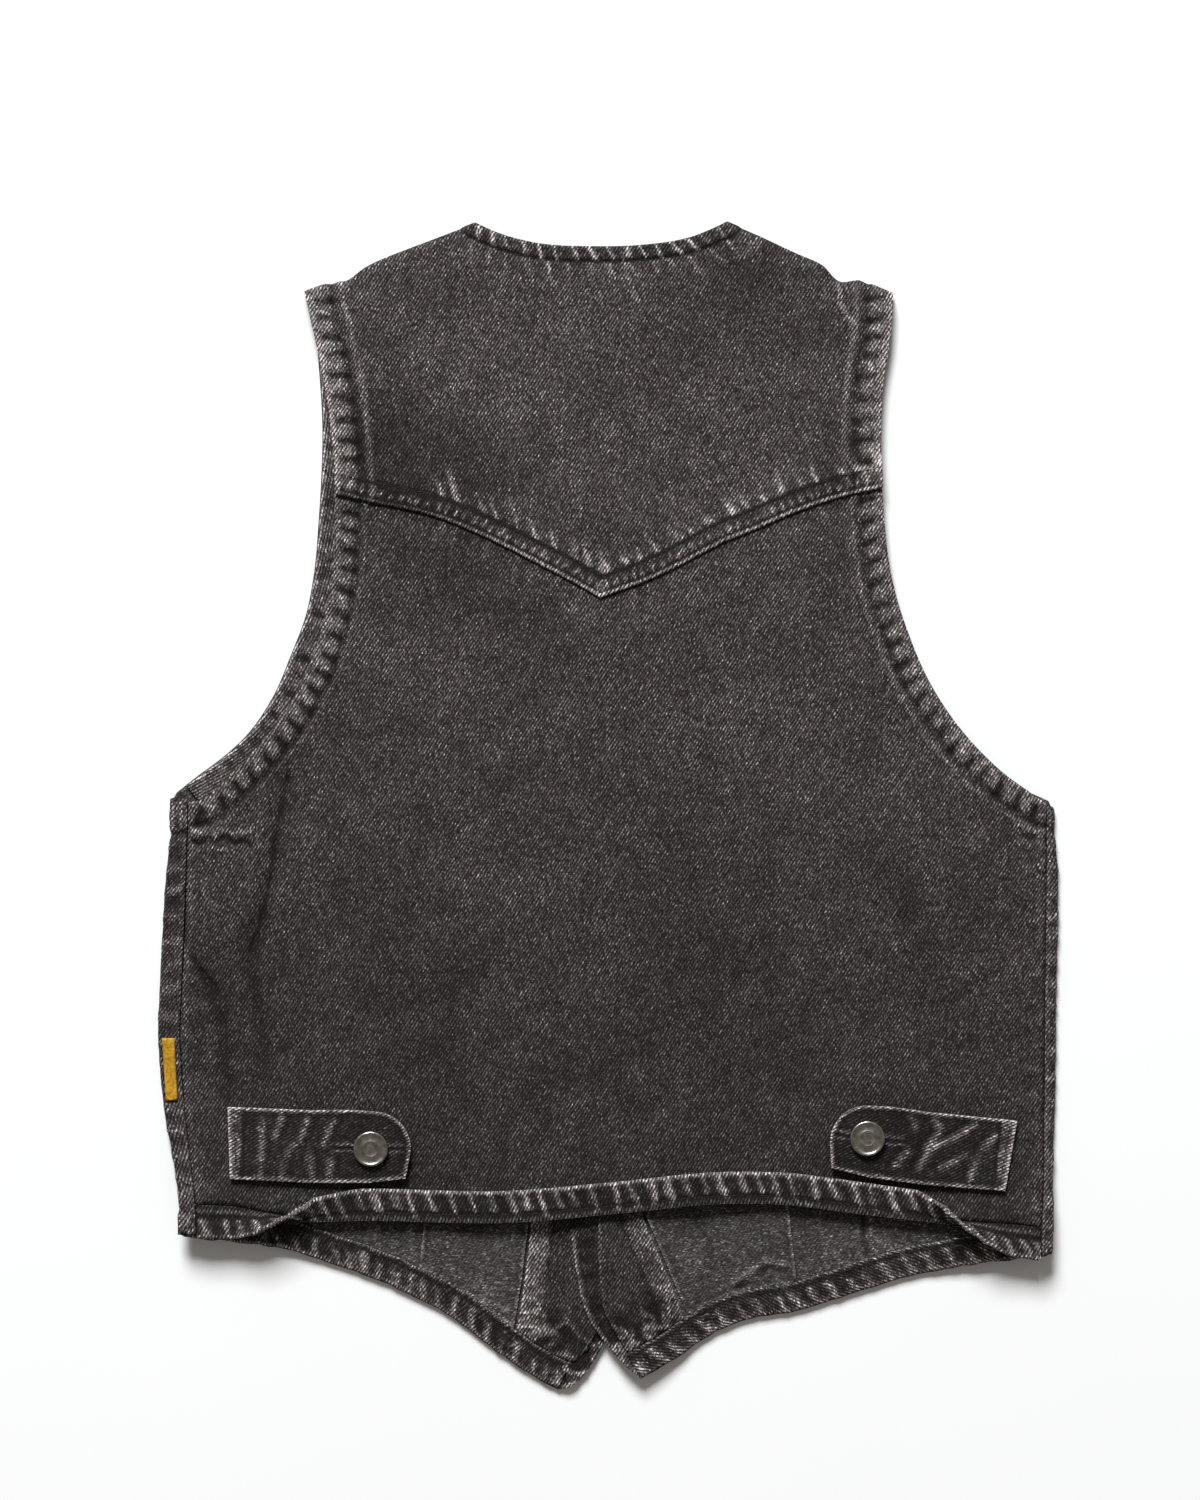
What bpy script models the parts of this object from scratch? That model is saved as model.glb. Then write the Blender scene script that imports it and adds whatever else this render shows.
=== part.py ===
"""A washed black denim waistcoat, buttoned up and lying face down with its back on top.

Sizes and tables are in millimetres: x to the right, y towards the neck, z up from the surface it lies on.
The origin is on that surface, under the middle of the laid garment. MM turns millimetres into metres.
"""

import math

import bpy
import numpy as np
from mathutils import Vector
from mathutils.geometry import delaunay_2d_cdt

MM = 0.001

# Cloth
CLOTH = 1.1  # one layer of heavy denim
FACING_CLOTH = 1.0
HEM_CLOTH = 2.2  # the back hem, turned twice
FRONT_HEM_CLOTH = 1.2  # what the front hems add over the front
TAB_CLOTH = 2.0
SEAM_GAP = 0.3
FACING_GAP = 0.8  # between the facings, the pocket bags and the front hems
LAY_GAP = 0.5  # between layers that only lie on each other

# Bands and strips
HEM_WIDTH = 13.0
BACK_HEM_WIDTH = 14.4
ARMHOLE_BAND = 12.0
FACING_TOP = 236.0  # y where the armhole facings end, clear of the rolled shoulders
NECK_BAND = 7.0
YOKE_SEAM_BAND = 11.0
BAND_RELIEF = 0.7  # how far a doubled edge stands out
BAND_SLOPE = 1.6
HEM_ROLL = 1.6  # radius of the bend where the back hem has flipped up

# How it lies
MIDDLE = -3.0  # x of the centre line
SIDE_HEIGHT = 4.3  # middle of the back's cloth at the sides
CROWN = 2.8  # extra height of the back over the overlapping fronts
CROWN_FLAT, CROWN_REACH = 25.0, 95.0
YOKE_STEP = CLOTH + LAY_GAP
OVERLAP_STEP = 3.2  # the right front lies this far above the left one
OVERLAP_FLAT, OVERLAP_REACH = 14.0, 48.0
SHOULDER_ROLL, SHOULDER_EDGE = 6.0, 1.7  # width of the rolled shoulder, height of its edge
PLACKET_RISE, PLACKET_FLAT, PLACKET_REACH = 2.4, 12.0, 62.0  # room for the front buttons
PLACKET_TOP, PLACKET_FOOT = (60.0, 115.0), (-215.0, -268.0)

# Buttons
BUTTON_RADIUS, BUTTON_HEIGHT, BUTTON_SIDES = 8.5, 2.1, 24
TAB_BUTTON_HEIGHT = 2.8
FRONT_BUTTON_Y = (42.0, -16.0, -74.0, -132.0, -190.0)

# Mesh sizes
SPACING = 17.0
EDGE_STEP = 10.0
ROW_GAP = 0.8  # closest that two mesh points lie on the flat cut

# Columns: x, y. Edges of the upper layer, seen from above.
NECK = ((-63.8, 279.4), (-51.8, 274.2), (-37.4, 270.2), (-4.0, 268.0), (15.4, 268.6), (39.4, 272.4),
        (57.1, 279.7))
LEFT_SHOULDER = ((-63.8, 279.4), (-80.6, 272.9), (-95.0, 267.4), (-116.6, 258.0), (-126.0, 251.4),
                 (-133.4, 250.2), (-145.6, 246.4))
RIGHT_SHOULDER = ((57.1, 279.7), (73.0, 272.9), (92.2, 264.2), (102.5, 259.5), (112.0, 251.2), (118.6, 251.8),
                  (136.8, 245.4))
LEFT_YOKE_ARMHOLE = ((-145.6, 246.4), (-141.6, 228.2), (-137.3, 209.0), (-133.4, 185.0), (-131.2, 161.0),
                     (-130.8, 149.4))
RIGHT_YOKE_ARMHOLE = ((136.8, 245.4), (135.4, 223.4), (132.5, 206.6), (131.0, 185.0), (131.0, 172.0),
                      (132.0, 152.4))
LEFT_YOKE_SEAM = ((-130.8, 149.4), (-114.2, 145.4), (-98.0, 142.2), (-85.4, 139.2), (-61.4, 129.7),
                  (-32.6, 115.2), (-16.0, 106.4), (-3.8, 99.4))
RIGHT_YOKE_SEAM = ((-3.8, 99.4), (20.2, 108.2), (33.0, 114.2), (44.2, 120.2), (56.0, 126.4), (68.2, 131.2),
                   (92.2, 141.4), (113.8, 148.4), (132.0, 152.4))
LEFT_BACK_ARMHOLE = ((-131.0, 162.0), (-131.0, 146.6), (-132.0, 117.8), (-134.4, 98.6), (-140.6, 74.6),
                     (-148.8, 55.4), (-161.3, 36.2), (-171.8, 24.2), (-181.4, 14.6), (-190.0, 6.0),
                     (-196.5, 2.4), (-201.4, 1.6))
RIGHT_BACK_ARMHOLE = ((131.2, 162.0), (132.0, 146.0), (134.4, 120.2), (138.2, 101.0), (144.5, 81.8),
                      (152.6, 62.6), (164.2, 43.4), (180.5, 24.2), (191.0, 14.6), (203.0, 6.0), (210.4, 0.6))

# Columns: y, x of the fold at the side, x of the side seam, where the fronts meet the back.
LEFT_SIDE = ((8.0, -209.8, -201.6), (-9.0, -209.8, -201.8), (-43.0, -213.1, -202.8), (-74.0, -215.0, -204.0),
             (-110.0, -216.5, -205.6), (-132.0, -215.0, -204.4), (-149.0, -212.6, -202.8),
             (-168.0, -208.8, -200.4), (-187.0, -205.6, -197.6), (-208.0, -205.2, -196.6))
RIGHT_SIDE = ((8.0, 214.6, 210.6), (-14.0, 214.6, 210.4), (-33.0, 216.5, 210.4), (-93.0, 215.2, 209.6),
              (-141.0, 215.0, 209.4), (-180.0, 213.4, 208.8), (-197.0, 213.6, 207.6), (-217.0, 212.4, 207.0))

# Columns: x, y of the hem's hinge, degrees the hem is turned up. 0 hangs down, 180 is flipped onto the back.
BACK_HEM = ((-196.0, -190.8, 0), (-178.6, -192.0, 6), (-166.0, -194.6, 42), (-156.0, -196.4, 95),
            (-140.0, -197.0, 158), (-119.0, -196.6, 180), (-51.8, -197.4, 180), (-1.9, -193.2, 180),
            (53.8, -188.4, 180), (85.9, -189.0, 180), (121.0, -193.4, 180), (148.0, -196.6, 176),
            (161.0, -198.0, 140), (170.0, -199.4, 92), (180.0, -200.0, 45), (192.0, -200.4, 8),
            (206.2, -201.8, 0))

# Columns: x, y. Edges of the lower layer, the two fronts.
LEFT_FRONT_ARMHOLE = ((-145.0, 246.0), (-140.6, 226.0), (-138.8, 206.6), (-137.4, 180.0), (-137.8, 161.0),
                      (-139.2, 137.0), (-141.6, 110.6), (-145.4, 91.4), (-152.6, 72.2), (-160.8, 53.0),
                      (-173.8, 33.8), (-184.0, 24.2), (-198.6, 13.2), (-207.6, 6.0))
RIGHT_FRONT_ARMHOLE = ((136.2, 245.0), (133.6, 224.0), (130.6, 206.6), (129.0, 185.0), (129.6, 160.0),
                       (131.6, 124.0), (136.0, 101.0), (142.0, 82.0), (150.2, 63.0), (162.0, 43.0),
                       (178.6, 23.0), (190.0, 13.0), (212.0, 2.0))
LEFT_FRONT_HEM = ((-203.0, -206.4), (-152.6, -213.8), (-120.5, -225.0), (-79.2, -243.6), (-54.7, -262.0),
                  (-40.3, -272.4), (-24.0, -280.7))
RIGHT_FRONT_HEM = ((210.0, -216.0), (188.2, -218.6), (151.7, -225.4), (117.6, -234.6), (95.0, -242.6),
                   (63.4, -248.4), (46.0, -256.4), (30.7, -266.8), (15.6, -275.0))
LEFT_CUTAWAY = ((-24.0, -280.7), (-18.0, -279.4), (-10.0, -272.0), (-2.4, -259.2), (7.8, -232.0),
                (11.8, -204.0))
RIGHT_CUTAWAY = ((15.6, -275.0), (8.2, -268.6), (-2.0, -257.0), (-10.0, -244.6), (-14.6, -226.8),
                 (-17.8, -204.0))
LEFT_FRONT_EDGE, RIGHT_FRONT_EDGE, NECKLINE_FOOT = 11.8, -17.8, 55.0
LEFT_NECKLINE = ((11.8, 55.0), (5.0, 88.0), (-20.0, 160.0), (-44.0, 224.0), (-62.4, 278.4))
RIGHT_NECKLINE = ((-17.8, 55.0), (-11.0, 88.0), (14.0, 160.0), (38.0, 224.0), (55.8, 279.2))

# Columns: x, y. The inner edges of the front facings, from the hem up to the shoulder.
LEFT_FACING_INNER = ((-43.6, -252.4), (-40.0, -228.0), (-36.6, -198.0), (-34.0, -100.0), (-34.0, 50.0),
                     (-58.0, 150.0), (-93.0, 256.0))
RIGHT_FACING_INNER = ((36.4, -246.4), (27.0, -222.0), (16.8, -197.5), (15.0, -100.0), (15.0, 40.0),
                      (46.0, 150.0), (85.0, 256.0))
LEFT_FACING_OUTER = ((-15.5, -267.2), (-9.6, -261.0), (-3.0, -246.0), (6.0, -226.0), (9.4, -204.0),
                     (9.4, 50.0), (2.0, 88.0), (-23.0, 160.0), (-63.0, 267.0))
RIGHT_FACING_OUTER = ((8.8, -261.8), (3.0, -252.0), (-1.6, -243.0), (-4.0, -226.0), (-4.6, -198.0),
                      (-5.0, 40.0), (2.0, 88.0), (22.0, 160.0), (57.5, 267.0))

# Columns: x, y. The pocket bags' corners, on the inside of the fronts. The first two are at the hem.
LEFT_POCKET = ((-90.6, -222.8), (-45.2, -250.8), (-41.4, -228.0), (-38.0, -198.0), (-35.8, -120.0),
               (-88.4, -120.0), (-88.4, -200.0))
RIGHT_POCKET = ((38.2, -244.4), (90.6, -228.8), (86.4, -190.0), (84.0, -120.0), (16.6, -120.0),
                (18.6, -197.5), (28.8, -222.0))

# Columns: distance from the sewn end, distance across. A waist tab has one rounded and one square corner.
TAB_SHAPE = ((0.0, 17.0), (40.0, 16.2), (66.0, 16.4), (76.0, 15.2), (83.0, 11.0), (87.4, 3.5), (86.0, -15.6),
             (68.0, -18.0), (40.0, -18.6), (2.0, -17.0))
TAB_ROUND = (1, 6)  # first and last point of the rounded stretch
# Columns: x, y of the sewn end, degrees of its direction, side of its rounded corner, lift of its free end.
TABS = {"left": (-182.6, -161.6, -1.0, 1, 1.2), "right": (194.2, -168.0, 173.4, -1, 1.2)}
TAB_BUTTONS = {"left": (-113.6, -164.2), "right": (124.1, -159.2)}

# Columns: x, y. A small woven tab in the left side seam.
LABEL = ((-213.9, -111.6), (-212.0, -141.6), (-206.6, -141.2), (-208.0, -111.6))

# Columns: x, y, reach, height. Where the cloth stands off the surface.
LIFTS = ((-205.0, -206.0, 78.0, 8.0), (212.0, -215.0, 64.0, 7.0), (15.0, -276.0, 40.0, 1.2))
# Columns: x and y of one end, x and y of the other, half width, height. Broad folds of the lower back.
FOLDS = ((-158.0, 2.0, -168.0, -62.0, 14.0, -0.9), (-168.0, -62.0, -180.0, -122.0, 14.0, -0.8),
         (-186.0, -28.0, -192.0, -118.0, 15.0, 1.3), (-40.0, 60.0, -70.0, -100.0, 40.0, 0.7),
         (60.0, 40.0, 90.0, -120.0, 45.0, 0.6), (196.0, -30.0, 198.0, -150.0, 14.0, 0.7))

# Colours are linear red, green and blue.
DENIM = ("denim", (0.047, 0.042, 0.041), 0.85, 0.0)
DENIM_INSIDE = ("denim_inside", (0.062, 0.056, 0.055), 0.9, 0.0)
NICKEL = ("button_metal", (0.42, 0.40, 0.37), 0.35, 1.0)
MUSTARD = ("label_weave", (0.42, 0.23, 0.015), 0.8, 0.0)


def clear_scene():
    for item in list(bpy.data.objects):
        bpy.data.objects.remove(item)


def material(look):
    """The Principled material of that name, made the first time it is asked for."""
    name, colour, roughness, metallic = look
    found = bpy.data.materials.get(name)
    if found:
        return found
    made = bpy.data.materials.new(name)
    made.use_nodes = True
    shader = made.node_tree.nodes["Principled BSDF"]
    shader.inputs["Base Color"].default_value = (*colour, 1.0)
    shader.inputs["Roughness"].default_value = roughness
    shader.inputs["Metallic"].default_value = metallic
    return made


def add_object(name, points, faces, look):
    """An object from points in millimetres."""
    mesh = bpy.data.meshes.new(name)
    mesh.from_pydata((np.asarray(points) * MM).tolist(), [], [list(map(int, f)) for f in faces])
    mesh.shade_smooth()
    mesh.set_sharp_from_angle(angle=math.radians(40))
    made = bpy.data.objects.new(name, mesh)
    mesh.materials.append(material(look))
    bpy.context.scene.collection.objects.link(made)
    return made


def ease(value, start, end):
    """0 before start, 1 after end, and a smooth step between."""
    t = np.clip((np.asarray(value, float) - start) / (end - start), 0.0, 1.0)
    return t * t * (3.0 - 2.0 * t)


def curve(points, step=EDGE_STEP):
    """A smooth curve through the points, with even spacing near step."""
    p = np.asarray(points, float)
    chord = np.concatenate([[0.0], np.cumsum(np.linalg.norm(np.diff(p, axis=0), axis=1))])
    slope = np.gradient(p, chord, axis=0)
    fine = []
    for i in range(len(p) - 1):
        t = np.linspace(0.0, 1.0, 16, endpoint=False)[:, None]
        span = chord[i + 1] - chord[i]
        fine.append((2 * t**3 - 3 * t**2 + 1) * p[i] + (t**3 - 2 * t**2 + t) * span * slope[i]
                    + (3 * t**2 - 2 * t**3) * p[i + 1] + (t**3 - t**2) * span * slope[i + 1])
    fine = np.concatenate([*fine, p[-1:]])
    along = np.concatenate([[0.0], np.cumsum(np.linalg.norm(np.diff(fine, axis=0), axis=1))])
    at = np.linspace(0.0, along[-1], max(2, round(along[-1] / step) + 1))
    return np.stack([np.interp(at, along, fine[:, k]) for k in range(2)], axis=1)


def outline(*stretches):
    """One closed outline from stretches that follow each other, turned anticlockwise."""
    joined = np.concatenate([s[:-1] if np.allclose(s[-1], t[0], atol=1e-6) else s
                             for s, t in zip(stretches, [*stretches[1:], stretches[0]])])
    following = np.roll(joined, -1, axis=0)
    area = (joined[:, 0] * following[:, 1] - joined[:, 1] * following[:, 0]).sum()
    return joined if area > 0 else joined[::-1]


def inset(line, distance):
    """The line moved sideways, to its left if distance is positive."""
    along = np.gradient(line, axis=0)
    along /= np.linalg.norm(along, axis=1)[:, None]
    return line + distance * np.stack([-along[:, 1], along[:, 0]], axis=1)


def inside(rim, points):
    """Which points lie in the closed outline."""
    a, b = rim[None], np.roll(rim, -1, axis=0)[None]
    x, y = points[:, :1], points[:, 1:]
    crosses = (a[..., 1] > y) != (b[..., 1] > y)
    with np.errstate(divide="ignore", invalid="ignore"):
        at = a[..., 0] + (y - a[..., 1]) * (b[..., 0] - a[..., 0]) / (b[..., 1] - a[..., 1])
    return (crosses & (x < at)).sum(axis=1) % 2 == 1


def distance(points, line):
    """How far each point is from a line of straight stretches."""
    a, d = line[:-1][None], np.diff(line, axis=0)[None]
    rest = points[:, None] - a
    t = np.clip((rest * d).sum(2) / np.maximum((d * d).sum(2), 1e-9), 0.0, 1.0)
    return np.linalg.norm(rest - t[..., None] * d, axis=2).min(axis=1)


def fill(rim, spacing, rows=()):
    """Points and triangles that fill a flat outline. Each row is a line whose points are kept.

    The points inside lie on a slightly wavy grid, so that no three of them are in line.
    """
    low, high = rim.min(axis=0), rim.max(axis=0)
    count = np.ceil((high - low) / (spacing, spacing * 0.866)).astype(int) + 1
    i, j = np.meshgrid(np.arange(count[0]), np.arange(count[1]))
    grid = np.stack([i + 0.5 * (j % 2) + 0.08 * np.sin(1.7 * i + 2.3 * j),
                     0.866 * j + 0.08 * np.sin(2.9 * i - 1.3 * j)], axis=2).reshape(-1, 2) * spacing + low
    closed = np.concatenate([rim, rim[:1]])
    grid = grid[inside(rim, grid) & (distance(grid, closed) > 0.5 * spacing)]
    kept = rim
    for row in rows:
        row = row[inside(rim, row) & (distance(row, closed) > 0.6)]
        row = row[[np.linalg.norm(kept - p, axis=1).min() > ROW_GAP for p in row]] if len(row) else row
        kept = np.concatenate([kept, row])
        if len(row) > 1:
            grid = grid[distance(grid, row) > 0.45 * spacing]
    points = [Vector(p) for p in np.concatenate([kept, grid])]
    flat, _, faces, *_ = delaunay_2d_cdt(points, [], [list(range(len(rim)))], 1, 1e-4)
    return np.array([tuple(p) for p in flat]), np.array([tuple(f) for f in faces])


def thicken(middle, triangles, above, below):
    """A closed wall round a surface, reaching above and below it along its normals."""
    corners = middle[triangles]
    flat = np.cross(corners[:, 1] - corners[:, 0], corners[:, 2] - corners[:, 0])
    normal = np.zeros_like(middle)
    for k in range(3):
        np.add.at(normal, triangles[:, k], flat)
    normal /= np.linalg.norm(normal, axis=1)[:, None]
    count = len(middle)
    points = np.concatenate([middle + normal * above[:, None], middle - normal * below[:, None]])
    ends = {(int(t[k]), int(t[(k + 1) % 3])) for t in triangles for k in range(3)}
    rim = sorted(e for e in ends if (e[1], e[0]) not in ends)
    walls = [w for a, b in rim for w in ((b, a, a + count), (b, a + count, b + count))]
    return points, [*triangles, *(triangles[:, ::-1] + count), *walls]


def panel(name, rim, place, look, thickness=CLOTH, spacing=SPACING, rows=(), relief=None):
    """A cut piece: its outline is filled, placed in space and made into a wall."""
    flat, triangles = fill(rim, spacing, rows)
    half = np.full(len(flat), thickness / 2)
    above = half if relief is None else half + relief(flat)
    return add_object(name, *thicken(place(flat[:, 0], flat[:, 1]), triangles, above, half), look)


def rise(x, y):
    """How far the underside stands off the surface."""
    total = np.zeros_like(x)
    for px, py, reach, height in LIFTS:
        total += height * (1.0 - ease(np.hypot(x - px, y - py), 0.0, reach))
    ridge = 1.0 - ease(np.abs(x - MIDDLE), PLACKET_FLAT, PLACKET_REACH)
    return total + PLACKET_RISE * ridge * (1.0 - ease(y, *PLACKET_TOP)) * ease(y, *PLACKET_FOOT[::-1])


def folds(x, y):
    """The broad folds of the lower back."""
    total = np.zeros_like(x)
    points = np.stack([x, y], axis=1)
    for x0, y0, x1, y1, half_width, height in FOLDS:
        away = distance(points, np.array([(x0, y0), (x1, y1)]))
        total += height * np.exp(-((away / half_width) ** 2))
    return total


def back_height(x, y):
    """The middle of the lower back's cloth."""
    crown = 1.0 - ease(np.abs(x - MIDDLE), CROWN_FLAT, CROWN_REACH)
    return rise(x, y) + SIDE_HEIGHT + CROWN * crown * (1.0 - 0.5 * ease(y, 130.0, 230.0)) + folds(x, y)


def place_back(x, y):
    return np.stack([x, y, back_height(x, y)], axis=1)


def place_yoke(x, y):
    """Over the lower back, rolling down to the fronts along the shoulders."""
    points = np.stack([x, y], axis=1)
    away = np.minimum(distance(points, curve(LEFT_SHOULDER)), distance(points, curve(RIGHT_SHOULDER)))
    roll = np.sqrt(1.0 - (1.0 - np.clip(away / SHOULDER_ROLL, 0.0, 1.0)) ** 2)
    return np.stack([x, y, SHOULDER_EDGE + (back_height(x, y) + YOKE_STEP - SHOULDER_EDGE) * roll], axis=1)


def side_column(table, y, column):
    rows = np.array(table)[::-1]
    return np.interp(y, rows[:, 0], rows[:, column])


def side_fold(table, side, y):
    """Centre of the fold's bend, its radius and where the bend starts in height, at each y."""
    fold, seam = side_column(table, y, 1), side_column(table, y, 2)
    low = CLOTH / 2 + rise(fold, y)
    radius = (back_height(seam, y) - low) / 2
    return fold - side * (CLOTH / 2 + radius), radius, low


def seam_reach(table, side, y):
    """x on the flat cut of a front's side edge, which lies on top at the side seam once it is folded."""
    centre, radius, _ = side_fold(table, side, y)
    return centre + side * (side * (centre - side_column(table, y, 2)) + math.pi * radius - SEAM_GAP)


def place_front(side, above=0.0):
    """A front's place. Its side wraps round the fold, and the right front overlaps the left one."""
    table = LEFT_SIDE if side < 0 else RIGHT_SIDE

    def place(x, y):
        centre, radius, low = side_fold(table, side, y)
        past = side * (x - centre)
        bend = np.clip(past / radius, 0.0, math.pi)
        over = np.maximum(past - math.pi * radius, 0.0)
        flat = past <= 0.0
        step = OVERLAP_STEP * (1.0 - ease(x, OVERLAP_FLAT, OVERLAP_REACH)) * (1.0 - ease(y, 115.0, 160.0))
        lying = CLOTH / 2 + rise(x, y) + (step if side > 0 else 0.0)
        px = np.where(flat, x, centre + side * (radius * np.sin(bend) - over))
        pz = np.where(flat, lying, low + radius * (1.0 - np.cos(bend)))
        return np.stack([px, y, pz + above], axis=1)

    return place


def band_relief(*edges):
    """A doubled edge: raised within a width of each line. Edges are pairs of line and width."""
    def relief(points):
        steps = [1.0 - ease(distance(points, line), width - BAND_SLOPE, width) for line, width in edges]
        return BAND_RELIEF * np.max(steps, axis=0)

    return relief


def band_rows(line, width):
    """The two lines that a doubled edge's slope runs between, on both sides of its edge."""
    return [inset(line, s * w) for s in (-1, 1) for w in (width - BAND_SLOPE, width)]


def build_back():
    """The yoke, and the lower back that runs under it."""
    neck = curve(NECK)
    left_armhole, right_armhole = curve(LEFT_YOKE_ARMHOLE), curve(RIGHT_YOKE_ARMHOLE)
    left_seam, right_seam = curve(LEFT_YOKE_SEAM), curve(RIGHT_YOKE_SEAM)
    left_shoulder, right_shoulder = curve(LEFT_SHOULDER, 7.0), curve(RIGHT_SHOULDER, 7.0)
    bands = [(neck, NECK_BAND), (left_armhole, ARMHOLE_BAND), (right_armhole, ARMHOLE_BAND),
             (left_seam, YOKE_SEAM_BAND), (right_seam, YOKE_SEAM_BAND)]
    rows = [row for line, width in bands for row in band_rows(line, width)]
    rolls = [inset(line, s * w) for line in (left_shoulder, right_shoulder) for s in (-1, 1)
             for w in (0.9, 2.8, SHOULDER_ROLL)]
    rim = outline(neck, right_shoulder, right_armhole, right_seam[::-1], left_seam[::-1], left_armhole[::-1],
                  left_shoulder[::-1])
    panel("back_yoke", rim, place_yoke, DENIM, rows=[*rolls, *rows], relief=band_relief(*bands))

    left, right = curve(LEFT_BACK_ARMHOLE), curve(RIGHT_BACK_ARMHOLE)
    top = np.concatenate([curve(LEFT_YOKE_SEAM), curve(RIGHT_YOKE_SEAM)[1:]]) + (0.0, YOKE_SEAM_BAND)
    hem = curve([row[:2] for row in BACK_HEM]) + (0.0, SEAM_GAP)
    left_side = side_line(LEFT_SIDE, left[-1][1], hem[0][1], SEAM_GAP)
    right_side = side_line(RIGHT_SIDE, right[-1][1], hem[-1][1], -SEAM_GAP)
    left, right = left[left[:, 1] < top[0][1]], right[right[:, 1] < top[-1][1]]
    rim = outline(left, left_side[1:], hem[1:-1], right_side[:0:-1], right[::-1], top[::-1])
    bands = [(left, ARMHOLE_BAND), (right, ARMHOLE_BAND)]
    under_yoke = np.concatenate([left_seam, right_seam[1:]])
    relief = band_relief(*bands)

    def clear_of_yoke(points):
        below = points[:, 1] < seam_height(points[:, 0])
        return relief(points) * ease(distance(points, under_yoke), 1.0, 4.0) * below

    rows = [row for line, width in bands for row in band_rows(line, width)]
    rows += [under_yoke + (0.0, -d) for d in (1.0, 4.0)]
    panel("back_body", rim, place_back, DENIM, rows=rows, relief=clear_of_yoke)


def seam_height(x):
    """y of the yoke seam at each x."""
    seam = np.concatenate([curve(LEFT_YOKE_SEAM), curve(RIGHT_YOKE_SEAM)[1:]])
    return np.interp(x, seam[:, 0], seam[:, 1])


def side_line(table, top, foot, shift):
    """A line down the side seam, between two heights."""
    y = np.linspace(top, foot, round((top - foot) / EDGE_STEP) + 1)
    return np.stack([side_column(table, y, 2) + shift, y], axis=1)


def build_back_hem():
    """The hem of the lower back. It hangs at the side seams and has flipped up between them."""
    table = np.array(BACK_HEM)
    x = np.linspace(table[0, 0], table[-1, 0], round((table[-1, 0] - table[0, 0]) / 9.0) + 1)
    hinge = np.interp(x, *curve(table[:, :2], 2.0).T)
    turn = np.radians(np.maximum(np.interp(x, table[:, 0], table[:, 2]), 1.0))
    radius = np.maximum(HEM_ROLL, 1.5 / turn)
    straight = BACK_HEM_WIDTH - 1.5 * turn / math.pi - 5.4 * np.sin(turn)
    rows = []
    for share in (0.0, 0.2, 0.4, 0.6, 0.8, 1.0):
        angle = share * turn
        rows.append((radius * np.sin(angle), radius * (1.0 - np.cos(angle))))
    foot_out, foot_up = rows[-1]
    for share in (0.35, 0.7, 1.0):
        rows.append((foot_out + share * straight * np.cos(turn), foot_up + share * straight * np.sin(turn)))
    middle = []
    for out, up in rows:
        y = hinge - out
        middle.append(np.stack([x, y, back_height(x, y) + up], axis=1))
    middle = np.concatenate(middle)
    count = len(x)
    triangles = []
    for row in range(len(rows) - 1):
        for k in range(count - 1):
            a = row * count + k
            triangles += [(a, a + count, a + 1), (a + 1, a + count, a + count + 1)]
    half = np.full(len(middle), HEM_CLOTH / 2)
    add_object("back_hem", *thicken(middle, np.array(triangles), half, half), DENIM)


def front_rim(side, armhole, hem, cutaway, edge, neckline, shoulder):
    """A front's flat cut, from the shoulder round by the armhole, side, hem and front edge."""
    table = LEFT_SIDE if side < 0 else RIGHT_SIDE
    arm, foot = curve(armhole), curve(hem)
    y = np.linspace(arm[-1][1] - 3.0, foot[0][1] + 1.0, 21)
    seam = np.stack([seam_reach(table, side, y), y], axis=1)
    centre = side_fold(table, side, y)[0]
    turn_in = [np.array([(c + (s - c) * t, h) for t in (0.35, 0.7)]) for c, s, h in
               ((centre[0], seam[0][0], y[0] + 1.0), (seam[-1][0], centre[-1], y[-1] - 0.4))]
    straight = np.stack([np.full(24, edge), np.linspace(cutaway[-1][1], NECKLINE_FOOT, 24)], axis=1)
    return outline(arm, turn_in[0], seam, turn_in[1], foot, curve(cutaway), straight, curve(neckline),
                   curve(shoulder))


def overlap_rows():
    """Lines up the slope where the right front climbs over the left one."""
    y = np.arange(-276.0, 162.0, 14.0)
    return [np.stack([np.full(len(y), x), y], axis=1) for x in np.linspace(OVERLAP_FLAT, OVERLAP_REACH, 6)]


def strip(line, near, far):
    """An outline between two distances from a line, on its left."""
    return outline(inset(line, near), inset(line, far)[::-1])


def between(line, start, end):
    """From one point to another along the stretch of a line that lies between them."""
    first, last = (int(np.linalg.norm(line - point, axis=1).argmin()) for point in (start, end))
    step = 1 if last > first else -1
    return np.array([start, *line[first + step:last:step], end])


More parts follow.
